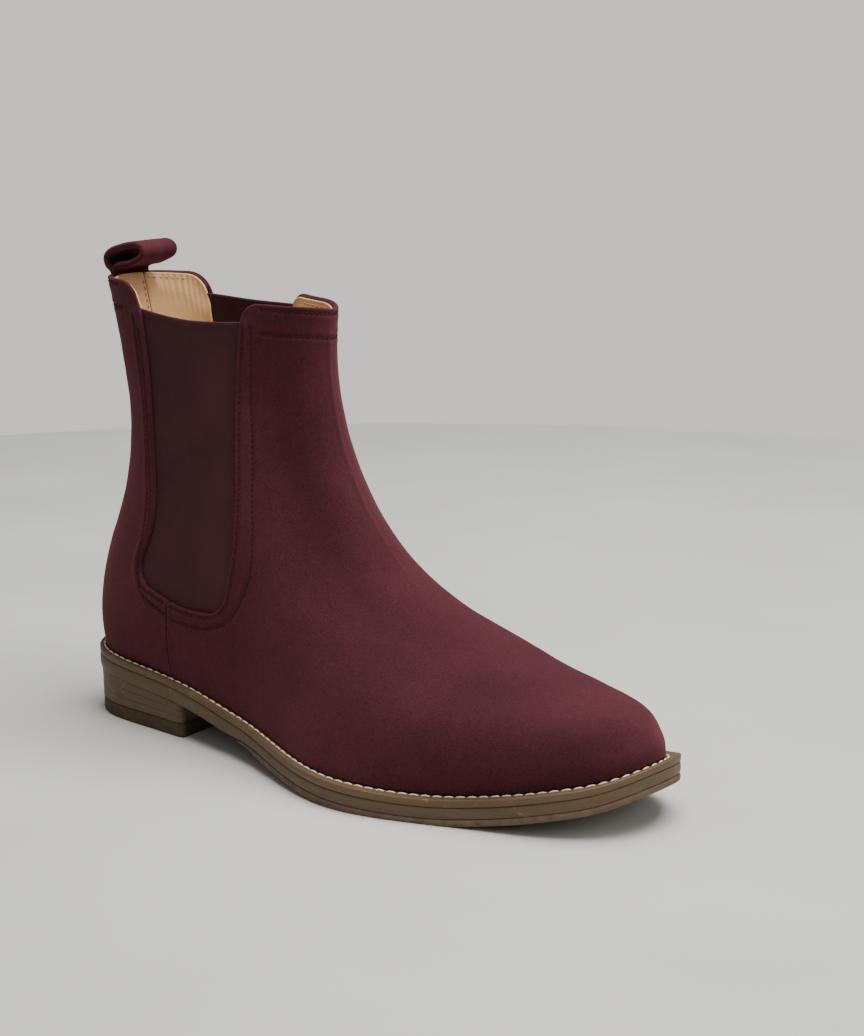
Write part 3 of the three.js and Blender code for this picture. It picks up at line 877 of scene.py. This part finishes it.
def thread_finish(name, dark, light, sheen=0.2):
    """Twisted thread, a little fuzzy."""
    f = Finish(name, 0.75, sheen=sheen, specular=0.25)
    twist = f.noise(0.55, 3, 0.7)
    f.colour(f.ramp(twist, (0.3, dark), (0.7, light)))
    f.relief((twist, 0.5, 0.2))
    return f.material


def rubber_finish(name, dark, light):
    """Matt rubber, a little scuffed."""
    f = Finish(name, 0.8, specular=0.3)
    f.colour(f.ramp(f.noise(4, 6, 0.7), (0.3, dark), (0.7, light)))
    f.relief((f.noise(0.6, 3, 0.7), 0.4, 0.2), (f.noise(0.9, 4, 0.6, (30, 30, 1)), 0.3, 0.25))
    return f.material


def metal_finish(name, dark, light, roughness):
    f = Finish(name, roughness, metallic=1.0)
    f.colour(f.ramp(f.noise(3, 4), (0.3, dark), (0.7, light)))
    f.relief((f.noise(0.4, 3, 0.6, (20, 1, 1)), 0.2, 0.05))
    return f.material


def grainy_finish(name, size, dark, light, depth=0.4):
    """Cork, foam or board: a matt ground of small grains."""
    f = Finish(name, 0.92, specular=0.2)
    cells = f.nodes.new("ShaderNodeTexVoronoi")
    cells.inputs["Scale"].default_value = 1 / (size * MM)
    f.links.new(f.place, cells.inputs["Vector"])
    f.colour(f.ramp(f.noise(size, 5, 0.7), (0.3, dark), (0.7, light)))
    f.relief((cells.outputs["Distance"], 0.4, depth), (f.noise(size / 2, 3), 0.3, depth))
    return f.material


SUEDE = suede_finish("suede", (82, 40, 47), (89, 43, 51), (97, 48, 56))
LOOP_SUEDE = suede_finish("loop_suede", (80, 38, 45), (90, 43, 51), (101, 49, 57), sheen=0.4)
ELASTIC = elastic_finish()
LINING = leather_finish("lining_leather", (216, 182, 130), (230, 200, 150), (240, 212, 166))
SOCK = leather_finish("sock_leather", (190, 146, 102), (208, 166, 120), (222, 184, 138), 1.3, 0.55)
WELT = edge_finish("welt_leather", (90, 69, 46), (107, 83, 57), (124, 98, 70), wear=(148, 120, 88))
STACK = edge_finish("sole_leather", (84, 66, 46), (100, 79, 56), (116, 94, 69), wear=(146, 124, 96))
HALF_SOLE_RUBBER = rubber_finish("half_sole_rubber", (80, 64, 52), (112, 92, 77))
RUBBER = rubber_finish("heel_rubber", (60, 49, 36), (84, 70, 54))
# The tonal thread is much darker than the suede: its own tone, with painted shade of the stitch holes
# laid into its colour.
TONAL_THREAD_WITH_PAINTED_SHADE = thread_finish("tonal_thread_with_painted_shade", (34, 13, 17), (58, 26, 31), sheen=0.0)
LINING_THREAD = thread_finish("lining_thread", (184, 144, 98), (214, 176, 128))
STRIP_THREAD = thread_finish("strip_thread", (120, 78, 48), (160, 112, 74))
CREAM_THREAD = thread_finish("welt_thread", (205, 184, 146), (244, 230, 200))
BOARD = grainy_finish("fibre_board", 0.9, (168, 152, 124), (200, 186, 160))
TAPE = grainy_finish("woven_tape", 0.7, (84, 50, 54), (110, 66, 70), 0.15)
CORK = grainy_finish("cork", 1.6, (128, 92, 58), (182, 142, 98), 0.8)
FOAM = grainy_finish("foam", 0.8, (214, 204, 184), (236, 228, 212), 0.3)
BRASS = metal_finish("nail_brass", (150, 116, 58), (196, 160, 92), 0.35)
STEEL = metal_finish("shank_steel", (120, 124, 128), (170, 172, 176), 0.35)


# ---------- The upper ----------

# Stitch rows in side view. The first follows the window's edge, the second stands off from it.
EDGE_ROW = smooth_window(1.9)
VAMP_SECOND_ROW = [
    (99.8, 182),
    (101.2, 150),
    (107.6, 111),
    (113.2, 83),
    (109, 68),
    (99.9, 57.5),
    (85.2, 52.6),
    (66, 53.4),
]
QUARTER_SECOND_ROW = [
    (37.2, 183),
    (41.4, 156),
    (44.2, 124),
    (46.6, 103),
    (45.2, 88),
    (43.5, 72),
    (48, 62),
    (62.5, 55.5),
]
TOP_ROWS = (2.2, 12.5)  # distances of the topline's stitch rows below the edge
SEAM_MARGIN, ROW_TOP = 1.5, 183.5  # where a row round the window stops, at the seam and the top
HEM_WIDTH = 3.1  # the folded edge beside the window
SECOND_ROW_BAND = 4.0  # how far the doubled suede reaches out from the window
STITCH_GROOVE = 0.42


def side_line(points, side):
    """A side-view line laid on the last, as s and v."""
    return find_on_last(rounded_path(points, 6), side)


def level_line(s_from, s_to, drop, count=160):
    """A line on the last at one distance below the topline, as s and v."""
    s = np.linspace(s_from, s_to, count)
    top = np.where(np.abs((s + 1) % 2 - 1) > 0.5, TOP_FRONT, TOP_BACK)
    lift = front_lift(last_point(s, find_height(s, top - drop)))
    return s, find_height(s, top - drop + lift)


def window_part(row, front):
    """The part of a row round the window that lies on the vamp, or on the quarter."""
    split = SIDE_SEAM_X + SEAM_MARGIN if front else SIDE_SEAM_X - SEAM_MARGIN
    part = [p for p in row if (p[0] > split) == front and p[1] < ROW_TOP]
    return part if front else part[::-1]


# Where the topline rows start and stop, as s: the loop's tails and the window's corners.
FRONT_ROW_S = 0.70
BACK_ROW_S = (0.02, 0.265)

rows = {"vamp": [], "back_quarter_lateral": [], "back_quarter_medial": []}
for side in SIDES:
    quarter = f"back_quarter_{side}"
    rows["vamp"].append(side_line(window_part(EDGE_ROW, True), side))
    rows["vamp"].append(side_line(VAMP_SECOND_ROW, side))
    rows[quarter].append(side_line(window_part(EDGE_ROW, False), side))
    rows[quarter].append(side_line(QUARTER_SECOND_ROW, side))
    ends = [SIDES[side] * s for s in BACK_ROW_S]
    rows[quarter] += [level_line(*ends, drop) for drop in TOP_ROWS]
rows["vamp"] += [level_line(FRONT_ROW_S, 2 - FRONT_ROW_S, drop) for drop in TOP_ROWS]


def nearest(points, line, reach=6.0):
    """Distance from each point to a line of points, for those within reach."""
    best = np.full(len(points), 99.0)
    low, high = line.min(0) - reach, line.max(0) + reach
    near = np.nonzero(((points > low) & (points < high)).all(1))[0]
    for part in np.array_split(near, max(1, len(near) // 4000)):
        gap = points[part][:, None, :] - line[None]
        best[part] = np.sqrt((gap**2).sum(2)).min(1)
    return best


def dense(line, step=0.7):
    """The line with points at most one step apart."""
    run = np.concatenate([[0], np.cumsum(np.linalg.norm(np.diff(line, axis=0), axis=1))])
    at = np.linspace(0, run[-1], int(run[-1] / step) + 2)
    return np.stack([np.interp(at, run, line[:, k]) for k in range(3)], 1)


def soft_waves(points, size, height, seed):
    """Gentle unevenness of hand-lasted leather, in millimetres."""
    offset = Vector((seed, -seed, 2 * seed))
    return height * np.array([noise.noise(Vector(p) / size + offset) for p in points])


def suede_relief(row_lines):
    """Hems, stitch grooves, the front crease and the seams of one suede piece."""
    lines = [dense(last_point(s, v)) for s, v in row_lines]

    def relief(s, v, points):
        x, y, z = points.T
        shift = soft_waves(points, 26, 0.45, 3.0) + soft_waves(points, 9, 0.12, 7.0)
        window = line_distance(x, z, WINDOW)
        shift += 0.34 * (1 - ease((window - HEM_WIDTH) / 1.3)) * (z < 190)
        shift += 0.22 * (1 - ease((window - SECOND_ROW_BAND) / 3)) * (z < 190)
        for line in lines:
            away = nearest(points, line)
            shift -= STITCH_GROOVE * bump(away, 0.8) - 0.18 * bump(away - 2.0, 1.1)
        ridge = np.abs(y - last_point(np.ones_like(v), v)[:, 1]) * (points[:, 0] > 60)
        on_front = (s % 2 > 0.8) & (s % 2 < 1.2) & (v > 0.36)
        shift += 0.34 * bump(ridge, 1.5) * on_front * ease((v - 0.5) / 0.2) * ease((0.97 - v) / 0.05)
        seam = np.abs(x - SIDE_SEAM_X)
        shift += 0.35 * (1 - ease((seam - 0.8) / 1.6)) * (z < 62) * (x > SIDE_SEAM_X)
        heel = (s % 2 < 0.2) | (s % 2 > 1.8)
        shift -= 0.25 * bump(np.abs(y), 0.9) * heel
        return shift

    return relief


def upper_inside(low_x=None, high_x=None, side=None, half_width=None, inset=0):
    """Distance into a panel of the upper, bounded by seams across or along the boot.

    inset keeps it that far inside the upper's own outline."""

    def inside(points):
        x, y, z = points[..., 0], points[..., 1], points[..., 2]
        field = inside_distance(x, z - front_lift(points), UPPER) - inset
        if low_x is not None:
            field = np.minimum(field, x - low_x)
        if high_x is not None:
            field = np.minimum(field, high_x - x)
        if side is not None:
            field = np.minimum(field, side * y - (half_width or 0) - GAP / 2)
        elif half_width is not None:
            field = np.minimum(field, half_width - GAP / 2 - np.abs(y))
        return field

    return inside


FRONT_S = spaced([0.24, 0.66, 0.94, 1.06, 1.34, 1.76], [130, 56, 44, 56, 130])
QUARTER_S = spaced([0.0, 0.05, 0.20, 0.50], [12, 36, 100])
ALL_V = spaced([-0.03, 0.12, 0.34, 0.86, 1.01], [28, 60, 96, 62])

STITCH = {"pitch": 2.3, "length": 1.65, "radius": 0.36}
STITCH_PROUD = 0.32  # height of the thread over the bottom of its groove


def sew(node, relief):
    """The node's stitch rows, lying in their grooves."""
    for number, (s, v) in enumerate(rows[node], 1):
        points, normals = last_point(s, v), outward(s, v)
        points = points + normals * (relief(s, v, points) + STITCH_PROUD)[:, None]
        stitches(f"{node}_stitching_{number}", points, normals, TONAL_THREAD_WITH_PAINTED_SHADE, "suede", **STITCH)


front_inside = upper_inside(low_x=SIDE_SEAM_X + GAP / 2)
vamp_relief = suede_relief(rows["vamp"])
vamp = panel("vamp_suede", FRONT_S, ALL_V, front_inside, 0, SUEDE_THICK, vamp_relief, SUEDE, "suede")
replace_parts(vamp, "vamp")
sew("vamp", vamp_relief)
for side, sign in SIDES.items():
    node = f"back_quarter_{side}"
    s_values = QUARTER_S if sign > 0 else -QUARTER_S[::-1]
    inside = upper_inside(high_x=SIDE_SEAM_X - GAP / 2, side=sign)
    relief = suede_relief(rows[node])
    quarter = panel(f"{node}_suede", s_values, ALL_V, inside, 0, SUEDE_THICK, relief, SUEDE, "suede")
    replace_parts(quarter, node)
    sew(node, relief)


# ---------- The gores ----------


def gore_relief(side):
    """A selvage along the top edge, and the elastic drawn in across the window."""
    back_top, front_top = GORE_TOP[side]

    def relief(s, v, points):
        x, z = points[:, 0], points[:, 2]
        top = line_distance(x, z, [(42, back_top), (68, min(back_top, front_top) - 0.8), (95, front_top)])
        selvage = 0.3 * (1 - ease((top - 3.0) / 0.8)) - 0.25 * bump(top - 3.7, 0.5)
        shown = inside_distance(x, z, WINDOW) > 0
        stretch = -0.5 * ease(inside_distance(x, z, WINDOW) / 14) * shown
        return selvage + stretch + soft_waves(points, 22, 0.3, 5.0)

    return relief


for side, sign in SIDES.items():
    outline = gore_outline(side)
    gore_s = np.linspace(0.24, 0.72, 150) if sign > 0 else np.linspace(1.28, 1.76, 150)

    def gore_inside(points, outline=outline):
        return inside_distance(points[..., 0], points[..., 2], outline)

    v_values = np.linspace(0.14, 0.97, 170)
    name, relief = f"gore_{side}_elastic", gore_relief(side)
    gore = panel(name, gore_s, v_values, gore_inside, GORE_DEPTH, GORE_THICK, relief, ELASTIC, "elastic")
    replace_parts(gore, f"gore_{side}")


# ---------- The lining ----------

LOOP_ROOM = 13.5  # half the width over which the loop's tails keep the lining away


def lining_relief(s, v, points):
    """The lining rises to the suede at its edge, with fine gathers under the back topline."""
    x, y, z = points.T
    front = line_distance(x, z - front_lift(points), FRONT_TOPLINE)
    top = np.minimum(line_distance(x, z, BACK_TOPLINE), front)
    at_loop = (1 - ease((np.abs(y) - LOOP_ROOM) / 3)) * (x < 40)
    rise = LINING_RISE * (1 - ease((top - 1.5) / 9)) * (1 - at_loop)
    around = s * 300
    fading = bump(top - 5, 7) * (x < 60)
    fold = np.sin(around / 1.05 + 1.6 * np.sin(around / 7.1) + z / 9)
    gathers = 0.13 * fold * (0.5 + 0.5 * np.sin(around / 11 + 1)) * fading
    return rise + gathers + soft_waves(points, 24, 0.5, 11.0) * (1 - bump(top, 4))


LINING_V = spaced([-0.03, 0.3, 0.84, 1.01], [34, 70, 56])
LINING_FRONT_S = spaced([0.24, 0.66, 1.34, 1.76], [80, 80, 80])
LINING_QUARTER_S = spaced([0.0, 0.5], [170])

LINING_INSET = 1.2  # how far the lining stays inside the suede's edges


def add_even(name, node, s_values, v_values, inside, layer, relief, material, slot):
    """A panel of even thickness that stands for a node. layer is its depth and thickness."""
    piece = panel(name, s_values, v_values, inside, *layer, relief, material, slot, even=True)
    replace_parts(piece, node)


def add_lining(node, s_values, inside):
    """One piece of the lining."""
    name, layer = f"{node}_leather", (LINING_DEPTH, LINING_THICK)
    add_even(name, node, s_values, LINING_V, inside, layer, lining_relief, LINING, "lining_leather")


add_lining("lining_front", LINING_FRONT_S, upper_inside(low_x=SIDE_SEAM_X + GAP / 2, inset=LINING_INSET))
for side, sign in SIDES.items():
    s_values = LINING_QUARTER_S if sign > 0 else -LINING_QUARTER_S[::-1]
    high_x = SIDE_SEAM_X - GAP / 2
    inside = upper_inside(high_x=high_x, side=sign, half_width=BACK_STRIP, inset=LINING_INSET)
    add_lining(f"lining_{side}", s_values, inside)
strip_inside = upper_inside(high_x=40, half_width=BACK_STRIP, inset=LINING_INSET)
add_lining("lining_back_strip", np.linspace(-0.12, 0.12, 70), strip_inside)


LINING_STITCH = {"length": 1.9, "radius": 0.3}


def lining_row(name, s, v, thread, pitch=2.6):
    """A stitch row on the lining's inner face."""
    points, normals = last_point(s, v), outward(s, v)
    depth = LINING_DEPTH + LINING_THICK - lining_relief(s, v, points) + 0.1
    points = points - normals * depth[:, None]
    stitches(name, points, -normals, thread, "lining_leather", pitch=pitch, **LINING_STITCH)


LINING_ROW_DROP = 3.4
lining_rows = {
    "front": (FRONT_ROW_S, 2 - FRONT_ROW_S),
    "medial": (0.09, 0.265),
    "lateral": (-0.265, -0.09),
}
for place, ends in lining_rows.items():
    lining_row(f"lining_{place}_stitching", *level_line(*ends, LINING_ROW_DROP), LINING_THREAD)
for side, sign in SIDES.items():
    v = np.linspace(0.3, 0.965, 120)
    s = np.interp(v, [0.3, 1], [0.052, 0.075]) * sign
    lining_row(f"back_strip_stitching_{side}", s, v, STRIP_THREAD, 2.8)


# ---------- The topline tapes ----------

TAPE_V = np.linspace(0.84, 1.0, 24)


def tape_inside(low_x, high_x, top, side=None):
    """Distance into a tape that hangs from a topline at height top."""
    clear = LOOP_WIDTH / 2 + GAP if side else None  # a tape stops short of the loop's tails
    limits = upper_inside(low_x=low_x, high_x=high_x, side=side, half_width=clear)

    def inside(points):
        z = points[..., 2] - front_lift(points)
        band = np.minimum(z - (top - TAPE_HEIGHT), top - 0.4 - z)
        return np.minimum(limits(points) - 0.4, band)

    return inside


def tape_relief(s, v, points):
    return soft_waves(points, 26, 0.02, 3.0)


tapes = {
    "topline_tape_front": (np.linspace(0.62, 1.38, 90), tape_inside(100, None, TOP_FRONT)),
    "topline_tape_medial": (np.linspace(0.0, 0.34, 50), tape_inside(None, 38, TOP_BACK, 1)),
    "topline_tape_lateral": (np.linspace(-0.34, 0.0, 50), tape_inside(None, 38, TOP_BACK, -1)),
}
for node, (s_values, inside) in tapes.items():
    name, layer = f"{node}_cloth", (TAPE_DEPTH, TAPE_THICK)
    add_even(name, node, s_values, TAPE_V, inside, layer, tape_relief, TAPE, "stiffener")


# ---------- The sole and heel ----------

WELT_TOP_BEVEL = 0.8


def build_welt():
    """The welt: a flat ring with a rounded top edge, lying under the feather line."""
    count = 300
    width = welt_width(count)
    inner = -RIB_INSET + GAP
    turn = np.linspace(0, math.pi / 2, 5)
    b = WELT_TOP_BEVEL
    section = [(0.0, 0, 0.0), (0.0, 0, -WELT_HEIGHT)]
    section += [(1.0, -0.35, -WELT_HEIGHT), (1.0, -0.1, -WELT_HEIGHT + 0.3)]
    section += [(1.0, 0.0, -WELT_HEIGHT * 0.55)]
    section += [(1.0, -b * (1 - math.cos(a)), -b + b * math.sin(a)) for a in turn]
    section += [(0.93, -b, -0.02), (0.75, 0, 0.0)]
    rings = []
    for share, shift, drop in section:
        plan = sole_ring(inner + (width - inner) * share + shift, count)
        rings.append(np.column_stack([plan, feather(plan[:, 0]) + drop]))
    faces = []
    for k in range(len(rings)):
        low, high = k * count, (k + 1) % len(rings) * count
        faces += ring_faces(high, low, count)
    return build("welt_leather", np.vstack(rings), [f[::-1] for f in faces], WELT)


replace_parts(build_welt(), "welt")
midsole = sole_layer("midsole_leather", midsole_top, midsole_bottom, STACK, bevel=0.55)
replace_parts(midsole, "midsole")
half_sole = sole_layer(
    "half_sole_rubber",
    lambda x: midsole_bottom(x) - 0.1,
    half_sole_bottom,
    HALF_SOLE_RUBBER,
    bevel=0.25,
    start=HALF_SOLE_START,
)
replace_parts(half_sole, "half_sole")

WELT_STITCH = {"pitch": 4.8, "length": 4.5, "radius": 0.46, "slant": 0.07}
WELT_STITCH_OUT, WELT_STITCH_PROUD = 1.0, 0.2  # out from the feather line, and over the welt


def build_welt_stitching():
    """The ring of stitches on the welt, close to the upper."""
    ring = sole_ring(WELT_STITCH_OUT, 480)
    ring = np.vstack([ring, ring[:1]])
    points = np.column_stack([ring, feather(ring[:, 0]) + WELT_STITCH_PROUD])
    normals = np.tile([0.0, 0.0, 1.0], (len(points), 1))
    return stitches("welt_stitching_thread", points, normals, CREAM_THREAD, "welt_thread", **WELT_STITCH)


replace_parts(build_welt_stitching(), "welt_stitching")

heel_base = TOP_PIECE + GAP / 2


def flat(height):
    """A level surface, as a function of x."""
    return lambda x: height + 0 * x


top_piece = heel_layer("heel_top_piece_rubber", flat(TOP_PIECE), flat(0), RUBBER, 0.6)
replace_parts(top_piece, "heel_top_piece")


LIFT_GAP = 0.06


def heel_level(i):
    """The height between lifts i and i + 1, which share out the room under the seat evenly."""
    return lambda x: heel_base + (midsole_bottom(x) - 0.15 - heel_base) * i / LIFTS


for i in range(LIFTS):
    low = heel_level(i)
    high = heel_level(i + 1)
    node = f"heel_lift_{i + 1}"
    top = lambda x, high=high: high(x) - LIFT_GAP
    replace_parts(heel_layer(f"{node}_leather", top, low, STACK, 0.1), node)


# ---------- Inside ----------


def inner_layer(name, low, high, v, depth, material, until=None):
    """A sheet lying on the insole, with its outline taken from the lining wall.

    until cuts it off across the boot at that x."""
    count = 160
    s = np.linspace(0, 2, count, endpoint=False)
    if until is not None:
        reach = np.interp(until, last_point(np.linspace(0, 0.6, 60), v)[:, 0], np.linspace(0, 0.6, 60))
        s = np.linspace(-reach, reach, count)
    plan = (last_point(s, v) - outward(s, v) * depth)[:, :2]
    centre_x = (plan[:, 0].min() + plan[:, 0].max()) / 2
    shares = [(1.0, 0.0), (1.0, 0.5), (0.985, 0.9), (0.955, 1.0)]
    shares += [(k, 1.0) for k in (0.85, 0.7, 0.5, 0.3, 0.12)]
    rings = []
    for share, rise in shares:
        ring = plan.copy()
        ring[:, 1] = plan[:, 1] * share + (1 - share) * plan[::-1, 1].mean()
        ring[:, 0] = centre_x + (plan[:, 0] - centre_x) * (0.25 + 0.75 * share if share < 1 else 1)
        x = ring[:, 0]
        z = low(x) + (high(x) - low(x)) * rise
        rings.append(np.column_stack([ring, z]))
    faces = []
    for k in range(len(shares) - 1):
        faces += ring_faces(k * count, (k + 1) * count, count)
    last = (len(shares) - 1) * count
    faces.append(list(range(last, last + count)))
    faces.append(list(range(count))[::-1])
    return build(name, np.vstack(rings), faces, material)


def insole_top(x):
    return feather(x) + INSOLE_TOP


def pad_top(x):
    return insole_top(x) + 0.1 + PAD_THICK * (1 - ease((x - PAD_LENGTH + 12) / 14))


def sock_low(x):
    over = 1 - ease((x - PAD_LENGTH + 10) / 20)
    return insole_top(x) + 0.2 + (PAD_THICK + 0.1) * over


def pad_low(x):
    return insole_top(x) + 0.05


def sock_top(x):
    return sock_low(x) + SOCK_THICK


pad = inner_layer("heel_pad_foam", pad_low, pad_top, 0.03, 6.5, FOAM, until=PAD_LENGTH)
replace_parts(pad, "heel_pad")
sock = inner_layer("sock_liner_leather", sock_low, sock_top, 0.03, 4.8, SOCK)
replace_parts(sock, "sock_liner")


# ---------- The pull loop ----------

# The band's middle line in side view, from its outer tail over the loop to its inner one.
LOOP_ROUTE = [
    (7.3, 200.5),
    (5.6, 203.2),
    (6.5, 206.8),
    (10.7, 209.7),
    (18.1, 211.8),
    (24.8, 212.8),
    (29.0, 210.8),
    (28.0, 207.3),
    (20.9, 204.3),
    (14.5, 203.1),
    (11.3, 202.1),
    (9.3, 200.6),
]
OUTER_TAIL = [(10.3, 184), (8.6, 192), (8.0, 198.2)]
INNER_TAIL = [(9.0, 198.2), (9.6, 192), (11.3, 184)]
HEEL_ROUND = 21  # radius of the back of the shaft in plan


def build_loop():
    """A folded suede band: up out of the topline, over, and back down to its other tail."""
    path = rounded_path([*OUTER_TAIL, *LOOP_ROUTE, *INNER_TAIL], 9)
    tangent = np.gradient(path, axis=0)
    tangent /= np.linalg.norm(tangent, axis=1, keepdims=True)
    normal = np.column_stack([-tangent[:, 1], tangent[:, 0]])
    above = np.clip((path[:, 1] - 198) / 5, 0, 1)
    half_thick = (SKIVED + (LOOP_THICK - SKIVED) * ease(above)) / 2
    half_width = LOOP_WIDTH / 2
    turn = np.linspace(math.pi / 2, -math.pi / 2, 7)
    flat = np.linspace(1, -1, 13)[1:-1]
    section = [(1, math.cos(a), math.sin(a)) for a in turn]
    section += [(w, 0, -1) for w in flat]
    section += [(-1, -math.cos(a), -math.sin(a)) for a in turn]
    section += [(-w, 0, 1) for w in flat]
    rows_out = []
    for k, (x, z) in enumerate(path):
        t = half_thick[k]
        row = []
        for across, round_out, lift in section:
            y = across * (half_width - t) + round_out * t
            curl = HEEL_ROUND - math.sqrt(HEEL_ROUND**2 - y * y)
            curl *= 1 - 0.75 * ease((z - 198.5) / 8)
            wave = 0.35 * noise.noise(Vector((x / 7, y / 6, z / 7))) * above[k]
            out = t * lift + wave
            row.append((x + normal[k, 0] * out + curl, y, z + normal[k, 1] * out))
        rows_out.append(row)
    n = len(section)
    faces = []
    for k in range(len(path) - 1):
        faces += ring_faces(k * n, (k + 1) * n, n)
    faces.append(list(range(n))[::-1])
    faces.append(list(range((len(path) - 1) * n, len(path) * n)))
    return build("pull_loop_band", np.array(rows_out).reshape(-1, 3), faces, LOOP_SUEDE, body=None)


loop = build_loop()
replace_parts(loop, "pull_loop", "pull_loop_anchor")
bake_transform(loop)


# ---------- Hidden CAD pieces keep their shape and get their material ----------

CARRIED = {
    "heel_counter": BOARD,
    "toe_puff": BOARD,
    "insole_board": BOARD,
    "insole_rib": BOARD,
    "cork_filler": CORK,
    "shank": STEEL,
}
CARRIED.update({f"heel_nail_{k}": BRASS for k in range(1, 6)})
for node, material in CARRIED.items():
    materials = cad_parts[node].data.materials
    materials.clear()
    materials.append(material)


# ---------- Studio ----------

CAMERA_PLACE = (623.2, -675.2, 303.1)  # millimetres in the frame
CAMERA_HEADING = (-0.652, 0.758)
CAMERA_PITCH = math.radians(12.14)
CAMERA_LENS = 78.08


def look(obj, direction):
    """Turn a camera or light to face along a direction."""
    obj.rotation_euler = Vector(direction).to_track_quat("-Z", "Y").to_euler()


def add_camera():
    camera = bpy.data.objects.new("camera", bpy.data.cameras.new("camera"))
    bpy.context.scene.collection.objects.link(camera)
    camera.location = [c * MM for c in CAMERA_PLACE]
    level = math.cos(CAMERA_PITCH)
    look(camera, (CAMERA_HEADING[0] * level, CAMERA_HEADING[1] * level, -math.sin(CAMERA_PITCH)))
    camera.data.lens = CAMERA_LENS
    camera.data.sensor_width = 36
    camera.data.clip_start = 0.01
    bpy.context.scene.camera = camera


def add_softbox(name, place, size, power, tint):
    light = bpy.data.lights.new(name, "AREA")
    light.shape = "RECTANGLE"
    light.size, light.size_y = size
    light.energy = power
    light.color = tint
    obj = bpy.data.objects.new(name, light)
    bpy.context.scene.collection.objects.link(obj)
    obj.location = place
    look(obj, Vector((0, 0, 0.08)) - Vector(place))


FLOOR_RADIUS = 0.85  # metres; the pale backdrop shows past it


def add_floor():
    f = Finish("floor_paper", 0.8, specular=0.2)
    f.colour(f.ramp(f.noise(140, 4), (0.3, (196, 196, 188)), (0.7, (206, 206, 199))))
    bpy.ops.mesh.primitive_circle_add(vertices=128, radius=FLOOR_RADIUS, fill_type="NGON")
    floor = bpy.context.object
    floor.name = "floor"
    floor.data.materials.append(f.material)


def add_world():
    """Dim ambient light, with a pale backdrop where the camera sees past the floor."""
    world = bpy.data.worlds.new("studio")
    bpy.context.scene.world = world
    world.use_nodes = True
    background = world.node_tree.nodes["Background"]
    background.inputs["Color"].default_value = (0.92, 0.95, 1.0, 1)
    background.inputs["Strength"].default_value = 0.16
    nodes, links = world.node_tree.nodes, world.node_tree.links
    pale = nodes.new("ShaderNodeBackground")
    pale.inputs["Color"].default_value = (*linear((236, 234, 228)), 1)
    rays = nodes.new("ShaderNodeLightPath")
    seen = nodes.new("ShaderNodeMixShader")
    links.new(rays.outputs["Is Camera Ray"], seen.inputs["Fac"])
    links.new(background.outputs["Background"], seen.inputs[1])
    links.new(pale.outputs["Background"], seen.inputs[2])
    links.new(seen.outputs["Shader"], nodes["World Output"].inputs["Surface"])


add_camera()
add_floor()
add_world()
add_softbox("overhead", (0.3, 0.15, 1.5), (1.5, 1.2), 48, (1.0, 0.99, 0.97))
add_softbox("front", (0.6, -1.2, 0.9), (0.9, 0.9), 2.4, (1.0, 0.97, 0.93))
add_softbox("toe", (1.4, 0.2, 0.8), (0.8, 0.8), 6.5, (0.98, 0.98, 1.0))
